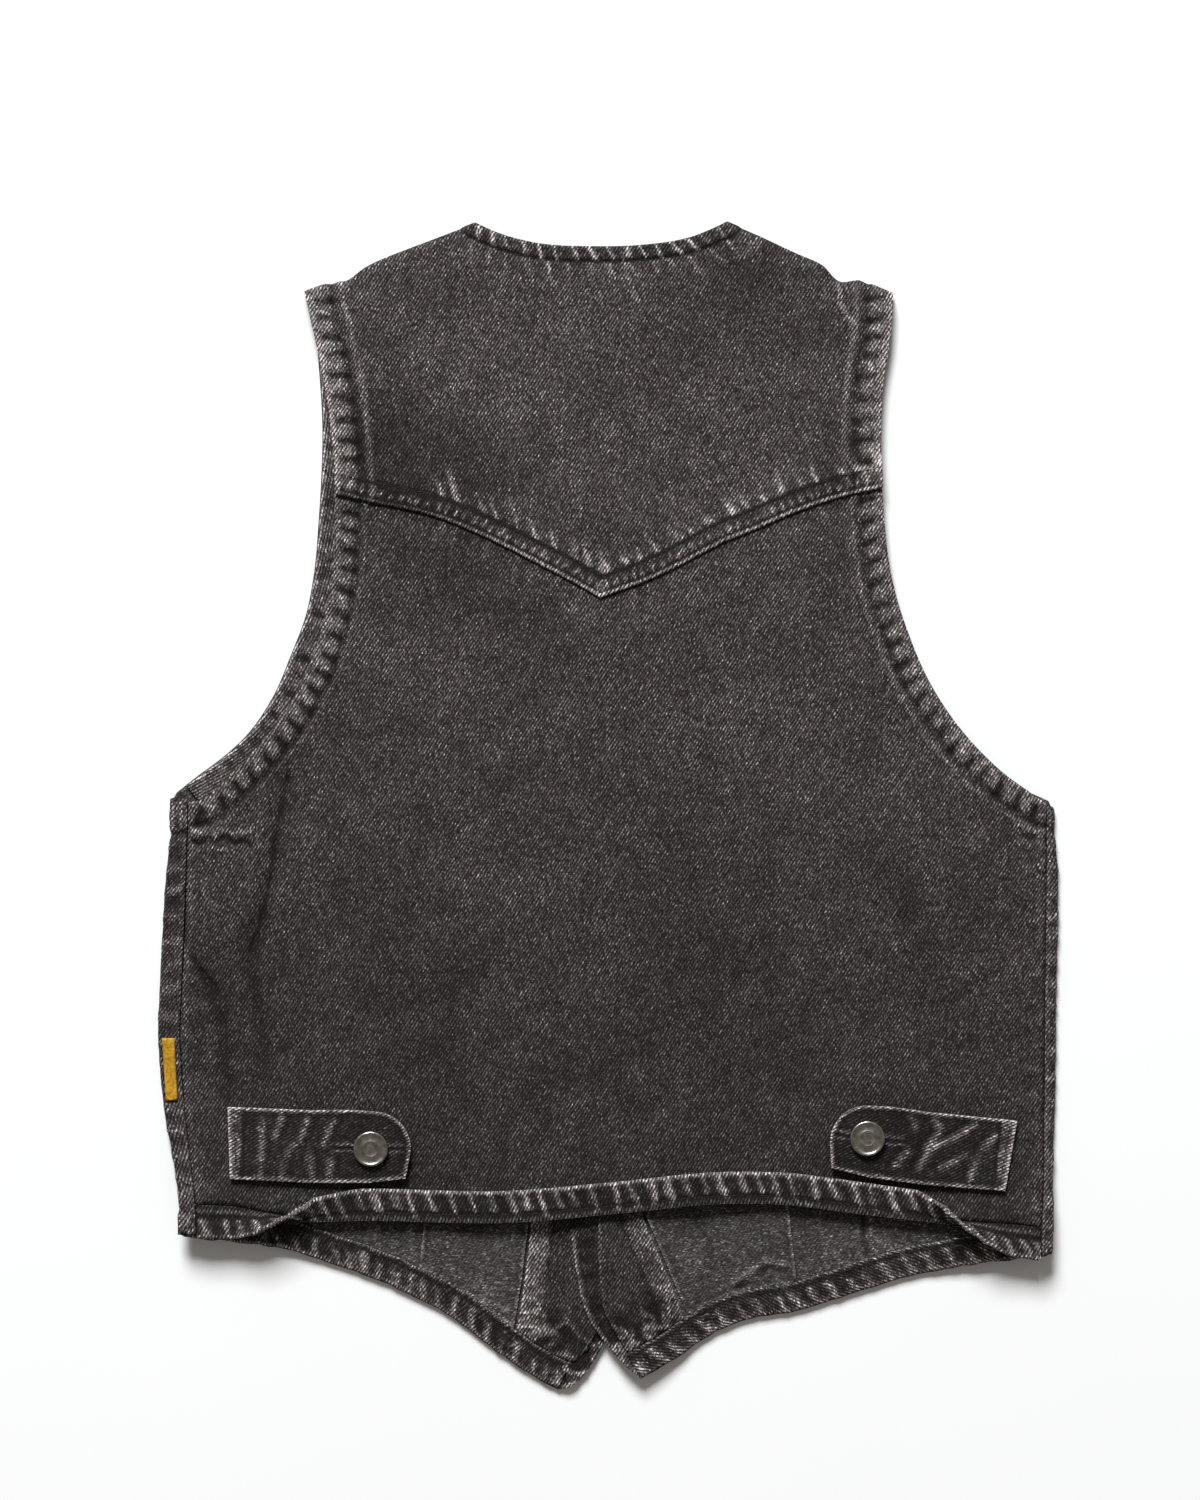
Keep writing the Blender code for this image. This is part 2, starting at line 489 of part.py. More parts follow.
def build_fronts():
    """Each front with its hem, armhole facing, edge facing and pocket bag, which lie on its inside."""
    fronts = {
        "left": (-1, LEFT_FRONT_ARMHOLE, LEFT_FRONT_HEM, LEFT_CUTAWAY, LEFT_FRONT_EDGE, LEFT_NECKLINE,
                 LEFT_SHOULDER, LEFT_FACING_INNER, LEFT_FACING_OUTER, LEFT_POCKET),
        "right": (1, RIGHT_FRONT_ARMHOLE, RIGHT_FRONT_HEM, RIGHT_CUTAWAY, RIGHT_FRONT_EDGE, RIGHT_NECKLINE,
                  RIGHT_SHOULDER, RIGHT_FACING_INNER, RIGHT_FACING_OUTER, RIGHT_POCKET),
    }
    on_top = CLOTH / 2 + LAY_GAP
    for name, (side, armhole, hem, cutaway, edge, neckline, shoulder, inner, outer, pocket) in fronts.items():
        table = LEFT_SIDE if side < 0 else RIGHT_SIDE
        risers = overlap_rows() if side > 0 else []
        shoulder = np.asarray(shoulder) + (0.0, -1.2)
        shoulder[0], shoulder[-1] = neckline[-1], armhole[0]
        rim = front_rim(side, armhole, hem, cutaway, edge, neckline, shoulder)
        y = np.linspace(0.0, hem[0][1] + 3.0, 22)
        centre, radius, _ = side_fold(table, side, y)
        bends = [np.stack([centre + side * radius * math.pi * share, y], axis=1)
                 for share in (0.0, 0.25, 0.5, 0.75, 1.0)]
        panel(f"front_{name}", rim, place_front(side), DENIM_INSIDE, rows=[*bends, *risers])

        arm = curve(armhole)
        before_fold = side * (side_fold(table, side, arm[:, 1])[0] - arm[:, 0])
        arm = arm[(before_fold > 4.0) & (arm[:, 1] < FACING_TOP)]
        lining = place_front(side, on_top + FACING_CLOTH / 2)
        panel(f"armhole_facing_{name}", strip(arm, -side * 0.6, -side * ARMHOLE_BAND), lining, DENIM,
              FACING_CLOTH)
        foot = curve(hem)
        foot = foot[side * (side_fold(table, side, foot[:, 1])[0] - foot[:, 0]) > 3.0]
        panel(f"front_{name}_hem", strip(foot, -side * 0.6, -side * HEM_WIDTH),
              place_front(side, on_top + FRONT_HEM_CLOTH / 2), DENIM, FRONT_HEM_CLOTH, rows=risers)
        above_hem = inset(foot, -side * (HEM_WIDTH + FACING_GAP))
        facing = outline(curve(inner), curve((inner[-1], outer[-1]), 6.0), curve(outer)[::-1],
                         between(above_hem, outer[0], inner[0]))
        panel(f"front_{name}_facing", facing, lining, DENIM, FACING_CLOTH, rows=risers)
        corners = np.asarray(pocket)
        sides = [curve(pair) for pair in zip(corners[1:], np.roll(corners, -1, axis=0)[1:])]
        bag = outline(between(above_hem, *corners[:2]), *sides)
        panel(f"pocket_bag_{name}", bag, lining, DENIM_INSIDE, FACING_CLOTH, rows=risers)


def turned(name, profile, x, y, z, look, up=1):
    """A solid of revolution. The profile's columns are radius and height, out from the axis and back."""
    angles = np.linspace(0.0, 2.0 * math.pi, BUTTON_SIDES, endpoint=False)
    rings = profile[1:-1]
    points = [(x, y, z + up * profile[0][1])]
    for radius, height in rings:
        points += [(x + radius * math.cos(a), y + radius * math.sin(a), z + up * height) for a in angles]
    points.append((x, y, z + up * profile[-1][1]))
    faces = []
    for k in range(BUTTON_SIDES):
        following = (k + 1) % BUTTON_SIDES
        faces.append((0, 1 + following, 1 + k))
        for ring in range(len(rings) - 1):
            a, b = 1 + ring * BUTTON_SIDES, 1 + (ring + 1) * BUTTON_SIDES
            faces.append((a + k, a + following, b + following, b + k))
        last = 1 + (len(rings) - 1) * BUTTON_SIDES
        faces.append((last + k, last + following, len(points) - 1))
    return add_object(name, points, faces if up > 0 else [f[::-1] for f in faces], look)


def cap_profile(height):
    """A pressed metal cap: a flat back, a rounded rim and a shallow dished face."""
    r = BUTTON_RADIUS
    return ((0.0, 0.0), (0.62 * r, 0.0), (0.94 * r, 0.3 * height), (r, 0.55 * height),
            (0.96 * r, 0.86 * height), (0.88 * r, height), (0.76 * r, 0.86 * height), (0.0, 0.84 * height))


def build_tabs():
    """The two waist tabs, buttoned flat onto the lower back."""
    lift_over = CLOTH / 2 + LAY_GAP + TAB_CLOTH / 2
    for name, (x0, y0, degrees, side, lift) in TABS.items():
        turn = math.radians(degrees)
        ahead = np.array((math.cos(turn), math.sin(turn)))
        across = side * np.array((-ahead[1], ahead[0]))
        shape = np.array([(x0, y0) + along * ahead + off * across for along, off in TAB_SHAPE])
        first, last = TAB_ROUND
        sides = [curve(pair) for pair in zip(shape[last:], np.roll(shape, -1, axis=0)[last:])]
        rim = outline(curve(shape[:first + 1]), curve(shape[first:last + 1], 5.0), *sides)

        def place(x, y):
            share = ease(np.stack([x - x0, y - y0], axis=1) @ ahead, 20.0, 90.0)
            return np.stack([x, y, back_height(x, y) + lift_over + lift * share], axis=1)

        panel(f"tab_{name}", rim, place, DENIM, TAB_CLOTH, spacing=11.0)
        bx, by = TAB_BUTTONS[name]
        ring = np.linspace(0.0, 2.0 * math.pi, 12)
        under = place(bx + BUTTON_RADIUS * np.cos(ring), by + BUTTON_RADIUS * np.sin(ring))[:, 2].max()
        seat = under + TAB_CLOTH / 2 + SEAM_GAP
        turned(f"tab_button_{name}", cap_profile(TAB_BUTTON_HEIGHT), bx, by, seat, NICKEL)


def build_front_buttons():
    """The closing buttons, under the outer front and face down on the surface."""
    for number, y in enumerate(FRONT_BUTTON_Y, start=1):
        turned(f"front_button_{number}", cap_profile(BUTTON_HEIGHT), MIDDLE, y, BUTTON_HEIGHT, NICKEL, up=-1)


def build_label():
    """A plain woven tab on the strip of the left front that shows beside the side seam."""
    corners = np.array(LABEL)
    sides = [curve(pair) for pair in zip(corners, np.roll(corners, -1, axis=0))]

    def place(x, y):
        seam = side_column(LEFT_SIDE, y, 2)
        return np.stack([x, y, back_height(seam, y) + CLOTH / 2 + SEAM_GAP + FACING_CLOTH / 2], axis=1)

    panel("side_label", outline(*sides), place, MUSTARD, FACING_CLOTH)


def main():
    clear_scene()
    build_fronts()
    build_back()
    build_back_hem()
    build_tabs()
    build_front_buttons()
    build_label()


main()
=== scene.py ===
"""Looks for a washed black denim waistcoat that lies face down, with its back on top.

Sizes and tables are in millimetres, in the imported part's own frame. MM turns them into metres.
"""

import math

import bpy
import numpy as np
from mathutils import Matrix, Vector
from mathutils.geometry import delaunay_2d_cdt
from mathutils.kdtree import KDTree


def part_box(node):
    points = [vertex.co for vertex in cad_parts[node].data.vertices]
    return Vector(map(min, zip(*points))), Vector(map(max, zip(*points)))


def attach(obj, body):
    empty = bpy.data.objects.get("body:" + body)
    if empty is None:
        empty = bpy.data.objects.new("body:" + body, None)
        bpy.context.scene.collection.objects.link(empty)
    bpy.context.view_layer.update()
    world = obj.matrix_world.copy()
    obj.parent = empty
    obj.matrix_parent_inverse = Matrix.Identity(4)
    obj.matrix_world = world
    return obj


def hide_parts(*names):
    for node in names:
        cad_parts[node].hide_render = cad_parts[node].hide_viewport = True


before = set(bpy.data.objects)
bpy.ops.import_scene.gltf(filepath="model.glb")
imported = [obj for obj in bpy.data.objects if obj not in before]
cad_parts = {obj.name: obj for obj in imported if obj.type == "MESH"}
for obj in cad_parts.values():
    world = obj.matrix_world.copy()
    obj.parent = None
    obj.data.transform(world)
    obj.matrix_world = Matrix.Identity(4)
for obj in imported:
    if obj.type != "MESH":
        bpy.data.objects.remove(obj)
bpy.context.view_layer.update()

MM = 0.001

# Cloth and how it lies, as in the solids
CLOTH, FACING_CLOTH, HEM_CLOTH, FRONT_HEM_CLOTH, TAB_CLOTH = 1.1, 1.0, 2.2, 1.2, 2.0
SEAM_GAP, LAY_GAP, FACING_GAP = 0.3, 0.5, 0.8
HEM_WIDTH, BACK_HEM_WIDTH, ARMHOLE_BAND, YOKE_SEAM_BAND = 13.0, 14.4, 12.0, 11.0
FACING_TOP = 236.0
BAND_RELIEF, BAND_SLOPE, HEM_ROLL, HEM_TAKE, HEM_DRAW = 0.7, 1.6, 1.6, 1.5, 5.4
MIDDLE, SIDE_HEIGHT, CROWN, CROWN_FLAT, CROWN_REACH = -3.0, 4.3, 2.8, 25.0, 95.0
CROWN_TOP, CROWN_LOSS = (130.0, 230.0), 0.5
YOKE_STEP = CLOTH + LAY_GAP
OVERLAP_STEP, OVERLAP_FLAT, OVERLAP_REACH, OVERLAP_TOP = 3.2, 14.0, 48.0, (115.0, 160.0)
SHOULDER_ROLL, SHOULDER_EDGE = 6.0, 1.7
PLACKET_RISE, PLACKET_FLAT, PLACKET_REACH = 2.4, 12.0, 62.0
PLACKET_TOP, PLACKET_FOOT = (60.0, 115.0), (-215.0, -268.0)
BUTTON_RADIUS, BUTTON_HEIGHT, TAB_BUTTON_HEIGHT = 8.5, 2.1, 2.8

# Columns: x, y. Edges of the upper layer, seen from above.
NECK = ((-63.8, 279.4), (-51.8, 274.2), (-37.4, 270.2), (-4.0, 268.0), (15.4, 268.6), (39.4, 272.4),
        (57.1, 279.7))
LEFT_SHOULDER = ((-63.8, 279.4), (-80.6, 272.9), (-95.0, 267.4), (-116.6, 258.0), (-126.0, 251.4),
                 (-133.4, 250.2), (-145.6, 246.4))
RIGHT_SHOULDER = ((57.1, 279.7), (73.0, 272.9), (92.2, 264.2), (102.5, 259.5), (112.0, 251.2), (118.6, 251.8),
                  (136.8, 245.4))
LEFT_YOKE_ARMHOLE = ((-145.6, 246.4), (-141.6, 228.2), (-137.3, 209.0), (-133.4, 185.0), (-131.2, 161.0),
                     (-130.8, 149.4))
RIGHT_YOKE_ARMHOLE = ((136.8, 245.4), (135.4, 223.4), (132.5, 206.6), (131.0, 185.0), (131.0, 172.0),
                      (132.0, 152.4))
LEFT_YOKE_SEAM = ((-130.8, 149.4), (-114.2, 145.4), (-98.0, 142.2), (-85.4, 139.2), (-61.4, 129.7),
                  (-32.6, 115.2), (-16.0, 106.4), (-3.8, 99.4))
RIGHT_YOKE_SEAM = ((-3.8, 99.4), (20.2, 108.2), (33.0, 114.2), (44.2, 120.2), (56.0, 126.4), (68.2, 131.2),
                   (92.2, 141.4), (113.8, 148.4), (132.0, 152.4))
LEFT_BACK_ARMHOLE = ((-131.0, 162.0), (-131.0, 146.6), (-132.0, 117.8), (-134.4, 98.6), (-140.6, 74.6),
                     (-148.8, 55.4), (-161.3, 36.2), (-171.8, 24.2), (-181.4, 14.6), (-190.0, 6.0),
                     (-196.5, 2.4), (-201.4, 1.6))
RIGHT_BACK_ARMHOLE = ((131.2, 162.0), (132.0, 146.0), (134.4, 120.2), (138.2, 101.0), (144.5, 81.8),
                      (152.6, 62.6), (164.2, 43.4), (180.5, 24.2), (191.0, 14.6), (203.0, 6.0), (210.4, 0.6))

# Columns: y, x of the fold at the side, x of the side seam.
LEFT_SIDE = ((8.0, -209.8, -201.6), (-9.0, -209.8, -201.8), (-43.0, -213.1, -202.8), (-74.0, -215.0, -204.0),
             (-110.0, -216.5, -205.6), (-132.0, -215.0, -204.4), (-149.0, -212.6, -202.8),
             (-168.0, -208.8, -200.4), (-187.0, -205.6, -197.6), (-208.0, -205.2, -196.6))
RIGHT_SIDE = ((8.0, 214.6, 210.6), (-14.0, 214.6, 210.4), (-33.0, 216.5, 210.4), (-93.0, 215.2, 209.6),
              (-141.0, 215.0, 209.4), (-180.0, 213.4, 208.8), (-197.0, 213.6, 207.6), (-217.0, 212.4, 207.0))

# Columns: x, y of the hem's hinge, degrees the hem is turned up.
BACK_HEM = ((-196.0, -190.8, 0), (-178.6, -192.0, 6), (-166.0, -194.6, 42), (-156.0, -196.4, 95),
            (-140.0, -197.0, 158), (-119.0, -196.6, 180), (-51.8, -197.4, 180), (-1.9, -193.2, 180),
            (53.8, -188.4, 180), (85.9, -189.0, 180), (121.0, -193.4, 180), (148.0, -196.6, 176),
            (161.0, -198.0, 140), (170.0, -199.4, 92), (180.0, -200.0, 45), (192.0, -200.4, 8),
            (206.2, -201.8, 0))

# Columns: x, y. Edges of the lower layer, the two fronts, and of the pieces on their insides.
FRONTS = {
    "left": {
        "shoulder": LEFT_SHOULDER,
        "armhole": ((-145.0, 246.0), (-140.6, 226.0), (-138.8, 206.6), (-137.4, 180.0), (-137.8, 161.0),
                    (-139.2, 137.0), (-141.6, 110.6), (-145.4, 91.4), (-152.6, 72.2), (-160.8, 53.0),
                    (-173.8, 33.8), (-184.0, 24.2), (-198.6, 13.2), (-207.6, 6.0)),
        "hem": ((-203.0, -206.4), (-152.6, -213.8), (-120.5, -225.0), (-79.2, -243.6), (-54.7, -262.0),
                (-40.3, -272.4), (-24.0, -280.7)),
        "cutaway": ((-24.0, -280.7), (-18.0, -279.4), (-10.0, -272.0), (-2.4, -259.2), (7.8, -232.0),
                    (11.8, -204.0)),
        "neckline": ((11.8, 55.0), (5.0, 88.0), (-20.0, 160.0), (-44.0, 224.0), (-62.4, 278.4)),
        "facing_inner": ((-43.6, -252.4), (-40.0, -228.0), (-36.6, -198.0), (-34.0, -100.0), (-34.0, 50.0),
                         (-58.0, 150.0), (-93.0, 256.0)),
        "facing_outer": ((-15.5, -267.2), (-9.6, -261.0), (-3.0, -246.0), (6.0, -226.0), (9.4, -204.0),
                         (9.4, 50.0), (2.0, 88.0), (-23.0, 160.0), (-63.0, 267.0)),
        "pocket": ((-90.6, -222.8), (-45.2, -250.8), (-41.4, -228.0), (-38.0, -198.0), (-35.8, -120.0),
                   (-88.4, -120.0), (-88.4, -200.0))},
    "right": {
        "shoulder": RIGHT_SHOULDER,
        "armhole": ((136.2, 245.0), (133.6, 224.0), (130.6, 206.6), (129.0, 185.0), (129.6, 160.0),
                    (131.6, 124.0), (136.0, 101.0), (142.0, 82.0), (150.2, 63.0), (162.0, 43.0),
                    (178.6, 23.0), (190.0, 13.0), (212.0, 2.0)),
        "hem": ((210.0, -216.0), (188.2, -218.6), (151.7, -225.4), (117.6, -234.6), (95.0, -242.6),
                (63.4, -248.4), (46.0, -256.4), (30.7, -266.8), (15.6, -275.0)),
        "cutaway": ((15.6, -275.0), (8.2, -268.6), (-2.0, -257.0), (-10.0, -244.6), (-14.6, -226.8),
                    (-17.8, -204.0)),
        "neckline": ((-17.8, 55.0), (-11.0, 88.0), (14.0, 160.0), (38.0, 224.0), (55.8, 279.2)),
        "facing_inner": ((36.4, -246.4), (27.0, -222.0), (16.8, -197.5), (15.0, -100.0), (15.0, 40.0),
                         (46.0, 150.0), (85.0, 256.0)),
        "facing_outer": ((8.8, -261.8), (3.0, -252.0), (-1.6, -243.0), (-4.0, -226.0), (-4.6, -198.0),
                         (-5.0, 40.0), (2.0, 88.0), (22.0, 160.0), (57.5, 267.0)),
        "pocket": ((38.2, -244.4), (90.6, -228.8), (86.4, -190.0), (84.0, -120.0), (16.6, -120.0),
                   (18.6, -197.5), (28.8, -222.0))}}

# Columns: distance from the sewn end, distance across.
TAB_SHAPE = ((0.0, 17.0), (40.0, 16.2), (66.0, 16.4), (76.0, 15.2), (83.0, 11.0), (87.4, 3.5), (86.0, -15.6),
             (68.0, -18.0), (40.0, -18.6), (2.0, -17.0))
TAB_ROUND = (1, 6)
# Columns: x, y of the sewn end, degrees of its direction, side of its rounded corner, lift of its free end.
TABS = {"left": (-182.6, -161.6, -1.0, 1, 1.2), "right": (194.2, -168.0, 173.4, -1, 1.2)}
TAB_BUTTONS = {"left": (-113.6, -164.2), "right": (124.1, -159.2)}
LABEL = ((-213.9, -111.6), (-212.0, -141.6), (-206.6, -141.2), (-208.0, -111.6))

# Columns: share of a button's radius, share of its height. Its cap, from the foot's middle to the top's.
CAP_PROFILE = ((0.0, 0.0), (0.60, 0.0), (0.86, 0.12), (0.96, 0.36), (1.0, 0.58), (0.985, 0.8),
               (0.945, 0.95), (0.90, 1.0), (0.855, 0.96), (0.83, 0.86), (0.80, 0.82), (0.47, 0.82),
               (0.45, 0.85), (0.43, 0.86), (0.41, 0.85), (0.39, 0.82), (0.2, 0.83), (0.0, 0.84))

# Columns: x, y, reach, height. Where the cloth stands off the surface.
LIFTS = ((-205.0, -206.0, 78.0, 8.0), (212.0, -215.0, 64.0, 7.0), (15.0, -276.0, 40.0, 1.2))
# Columns: x and y of one end, x and y of the other, half width, height. Broad folds of the lower back.
FOLDS = ((-158.0, 2.0, -168.0, -62.0, 14.0, -0.9), (-168.0, -62.0, -180.0, -122.0, 14.0, -0.8),
         (-186.0, -28.0, -192.0, -118.0, 15.0, 1.3), (-40.0, 60.0, -70.0, -100.0, 40.0, 0.7),
         (60.0, 40.0, 90.0, -120.0, 45.0, 0.6), (196.0, -30.0, 198.0, -150.0, 14.0, 0.7))

# Columns: half width, height, painted light and shade, corners. Sharper creases of the lower back, their
# valleys darkened as painted shade and their raised sides lightened as painted highlight.
CREASES = (
    (5.5, -0.8, -0.075, ((-153.2, 16.0), (-157.6, -5.4), (-160.6, -24.0), (-163.6, -43.0), (-171.3, -70.2))),
    (1.3, -0.8, -0.14, ((-153.6, 14.0), (-157.6, -5.4), (-160.2, -19.1), (-161.0, -29.3), (-163.6, -43.0),
                        (-167.0, -56.6), (-171.3, -70.2))),
    (4.5, 0.9, 0.04, ((-166.0, 2.0), (-171.0, -40.0), (-179.0, -64.0))),
    (3.6, -0.8, -0.06, ((-172.5, -76.0), (-166.4, -100.0), (-164.9, -124.0))),
    (1.4, -0.9, -0.13, ((-203.6, -34.0), (-203.4, -56.0), (-202.0, -69.8), (-194.4, -80.9), (-187.7, -89.0))),
    (4.6, -0.9, -0.07, ((-194.4, -80.9), (-187.7, -92.0), (-183.4, -112.0), (-181.4, -142.0))),
    (3.8, 0.8, 0.05, ((-192.0, -98.0), (-190.0, -124.0))),
    (1.5, 0.9, 0.26, ((-198.0, -12.8), (-192.0, -14.8), (-187.0, -11.6), (-180.0, -13.6), (-172.0, -12.6))),
    (1.1, -1.1, -0.22, ((-199.0, -17.4), (-195.4, -18.6), (-191.6, -15.2), (-188.0, -17.8), (-183.8, -14.6),
                        (-179.0, -18.4), (-174.6, -17.0), (-171.4, -19.4))),
    (1.3, 0.8, 0.5, ((-188.8, -15.4), (-185.8, -13.0))),
    (1.2, 0.5, 0.16, ((-197.0, -21.0), (-188.0, -21.2), (-180.0, -21.6))),
    (9.0, 0.5, 0.03, ((150.0, -34.0), (168.0, -70.0), (186.0, -102.0))),
    (9.0, -0.4, -0.03, ((137.0, -40.0), (155.0, -78.0), (171.0, -110.0))),
    (1.2, -0.8, -0.16, ((199.0, -13.4), (203.0, -16.6), (206.6, -14.4), (210.0, -16.8))),
    (1.3, 0.7, 0.2, ((196.0, -9.6), (203.0, -12.6), (209.0, -11.8))))

# Columns: half width, height, painted light and wear, corners. Creases on each front's inside. Valleys
# are darkened as painted shade; ridges are lightened partly by wear, partly as painted highlight.
INSIDE_CREASES = {
    "left": ((2.0, 0.6, 0.1, ((-96.0, -204.0), (-92.0, -222.0))),
             (1.5, 0.6, 0.12, ((-60.0, -238.0), (-48.0, -244.0)))),
    "right": ((1.3, -1.0, -0.24, ((122.6, -196.0), (123.0, -206.0), (124.6, -216.0))),
              (1.5, 0.8, 0.25, ((126.0, -198.0), (126.6, -208.0), (128.0, -216.0))),
              (1.6, 1.1, 0.3, ((60.0, -229.6), (66.0, -226.0), (75.4, -219.2), (86.0, -221.6))),
              (1.3, -0.9, -0.2, ((62.0, -232.6), (69.0, -228.8), (76.4, -222.4), (86.0, -224.6))))}

# Creases of each waist tab. Columns: distance from the sewn end, distance across.
TAB_CREASES = {
    "left": (((17.3, 10.6), (16.3, -14.3)), ((25.9, 12.0), (23.0, 3.5)),
             ((38.4, 11.0), (35.0, 1.0), (27.8, -6.1), (26.9, -14.5)), ((39.4, -3.7), (40.8, -14.5)),
             ((50.9, 11.0), (46.6, 0.0)), ((50.4, -7.6), (49.4, -14.5))),
    "right": (((20.0, 12.5), (28.0, 6.1), (39.6, -1.9), (44.4, -12.1)),
              ((38.9, 12.6), (36.3, 7.6), (41.6, -0.2)),
              ((50.7, 12.6), (48.0, 8.2)), ((50.7, -3.9), (55.2, -10.8)), ((20.9, -1.4), (33.4, -10.0)),
              ((8.9, 8.2), (15.3, 0.1), (19.0, -13.8)))}

# Creases, dents and rubbed streaks across sewn edges. Columns: spacing, distances from the edge where a mark
# starts, is whole, fades and ends, half width, lean, height, wear and painted light, skew, taper, roughness.
# Streaks and pads are paler from wear; the dents and hollows, with negative height, are darkened as painted
# shade.
# The last two distances of the armhole dents count from the groove.
MARKS = {
    "armhole_pads": (9.4, (1.0, 2.5, 8.0, 11.5), 2.4, 0.2, 0.35, 0.28, 1.0, 0.0, 0.25),
    "armhole_dents": (9.4, (2.0, 5.5, -1.8, 0.7), 1.35, 0.2, -1.1, -0.38, 1.2, 0.8, 0.25),
    "neck_edge": (7.7, (0.0, 0.4, 6.2, 7.6), 0.85, 0.45, 0.4, 1.3, 1.0, 0.0, 0.5),
    "neck_streaks": (9.0, (7.8, 8.6, 9.0, 22.0), 1.1, 0.35, 0.35, 0.55, 1.0, 0.0, 0.5),
    "yoke_seam_pads": (4.6, (2.7, 3.4, 5.0, 8.6), 0.9, 0.2, 0.3, 0.7, 1.0, 0.0, 0.5),
    "yoke_left_streaks": (9.8, (9.9, 11.0, 11.5, 27.0), 1.7, -0.8, 0.6, 0.8, 0.6, -0.7, 0.5),
    "yoke_right_streaks": (9.4, (9.9, 11.0, 11.5, 23.0), 2.0, -0.12, 0.6, 1.0, 0.6, -0.7, 0.5),
    "below_yoke": (8.5, (0.0, 1.5, 4.0, 17.0), 1.5, 0.15, 0.25, 0.16, 0.6, 0.0, 0.5),
    "side_seam": (11.5, (0.5, 2.0, 6.0, 17.0), 2.6, 0.1, 0.45, 0.08, 1.0, 0.0, 0.5),
    "hem_gathers": (8.8, (0.2, 1.0, 8.6, 10.6), 1.0, 0.42, 0.7, 0.8, 1.9, 0.0, 0.5),
    "hem_hollows": (9.4, (1.5, 3.0, 8.0, 11.0), 1.8, 0.42, -0.4, -0.06, 1.0, 0.0, 0.5),
    "cutaway_dents": (8.4, (1.6, 3.0, 9.0, 13.0), 1.7, 0.0, -0.7, -0.14, 1.6, 0.0, 0.5),
    "above_front_hem": (9.0, (12.5, 14.0, 16.0, 30.0), 1.5, 0.2, 0.4, 0.14, 1.0, 0.0, 0.5),
    "side_strip": (10.8, (0.5, 1.5, 8.0, 15.0), 1.9, 0.1, 0.6, 0.36, 1.4, 0.0, 0.5),
    "outside_hem": (9.2, (0.0, 1.5, 9.0, 13.0), 1.2, 0.4, 0.35, 0.6, 1.0, 0.0, 0.5),
    "outside_armhole": (9.4, (0.0, 1.5, 9.0, 13.0), 1.6, 0.1, 0.35, 0.6, 1.0, 0.0, 0.5),
    "armhole_facing": (9.6, (1.0, 3.5, 9.0, 12.5), 2.0, 0.1, -0.7, -0.34, 1.4, 0.0, 0.5),
    "front_hem_gathers": (8.8, (0.3, 1.2, 8.5, 10.5), 1.2, 0.4, 0.8, 0.7, 1.7, 0.0, 0.5),
    "front_hem_hollows": (8.8, (1.0, 3.0, 8.5, 10.5), 2.0, 0.4, -0.8, -0.1, 1.0, 0.0, 0.5),
    "facing_edge": (7.5, (0.5, 2.0, 6.0, 11.0), 1.8, 0.7, 0.45, 0.24, 1.0, 0.0, 0.5),
    "facing_foot": (8.0, (0.0, 1.0, 5.0, 14.0), 1.6, 0.3, 0.7, 0.4, 1.0, 0.0, 0.5),
    "above_pocket": (10.0, (13.0, 14.0, 16.0, 32.0), 1.8, 0.3, 0.45, 0.1, 1.0, 0.0, 0.5)}

# Columns: x, y, radius, how much lighter or darker. Broad lighter and darker places of the lower back and the
# yoke.
BODY_SHADES = ((-75.0, 118.0, 34.0, -0.07), (-40.0, 95.0, 28.0, -0.05), (-112.0, 132.0, 20.0, -0.05),
               (-190.0, -95.0, 24.0, -0.03))
YOKE_SHADES = ((-95.0, 240.0, 45.0, 0.03), (62.0, 238.0, 34.0, -0.05), (-112.0, 168.0, 30.0, -0.13),
               (120.0, 166.0, 20.0, -0.1), (70.0, 150.0, 40.0, 0.03), (-30.0, 205.0, 30.0, 0.03),
               (-66.0, 152.0, 24.0, -0.07))

# Stitched lines and shaped edges
TAB_END, STITCH_AT_HEM, SCALLOP = 7.4, 0.36, 0.5
THREAD_RADIUS, THREAD_PROUD = 0.3, 0.02
HEM_SPAN, HEM_EDGE = 14.0, np.array([(-300.0, 14.2), (300.0, 14.2)])
# Columns: x, y. Padded corners where each front's hem meets its edge.
TIP_PADS = {"left": (-17.2, -275.2), "right": (9.6, -269.4)}

# Twill: the pitch of its lines, its flecks' fineness, contrast, mean and least share
TWILL_ACROSS, TWILL_UP = 1.68, 2.6
FLECK_SCALE, FLECK_MEAN, FLECK_FLOOR = 2.35, 0.1165, 0.04
WAVE_FACE, WAVE_WRONG, LUCK = 3.0, 1.4, 2.25

# Camera: the photograph's frame, looking straight down
FRAME_CENTRE, FRAME_HEIGHT, LENS, SENSOR, CLOTH_LEVEL = (-3.84, 26.6), 720.0, 85.0, 36.0, 5.0
# Stage, in metres and watts
LAMP_PLACE, LAMP_SIZE, LAMP_POWER, LAMP_COLOUR = (-1.3, 6.0, 4.7), 2.8, 1005.0, (0.975, 0.99, 1.0)
FLOOR_SIZE, FLOOR_LEVEL, SKY_COLOUR, SKY_STRENGTH = 6.0, -0.0002, (1.0, 0.94, 0.86, 1.0), 0.22

FAR = 1000.0
LATTICE = np.random.default_rng(11).random((64, 64, 24)) * 2.0 - 1.0


def ease(value, start, end):
    """0 before start, 1 after end, and a smooth step between."""
    t = np.clip((np.asarray(value, float) - start) / (end - start), 0.0, 1.0)
    return t * t * (3.0 - 2.0 * t)


def bell(value, width):
    return np.exp(-((value / width) ** 2))


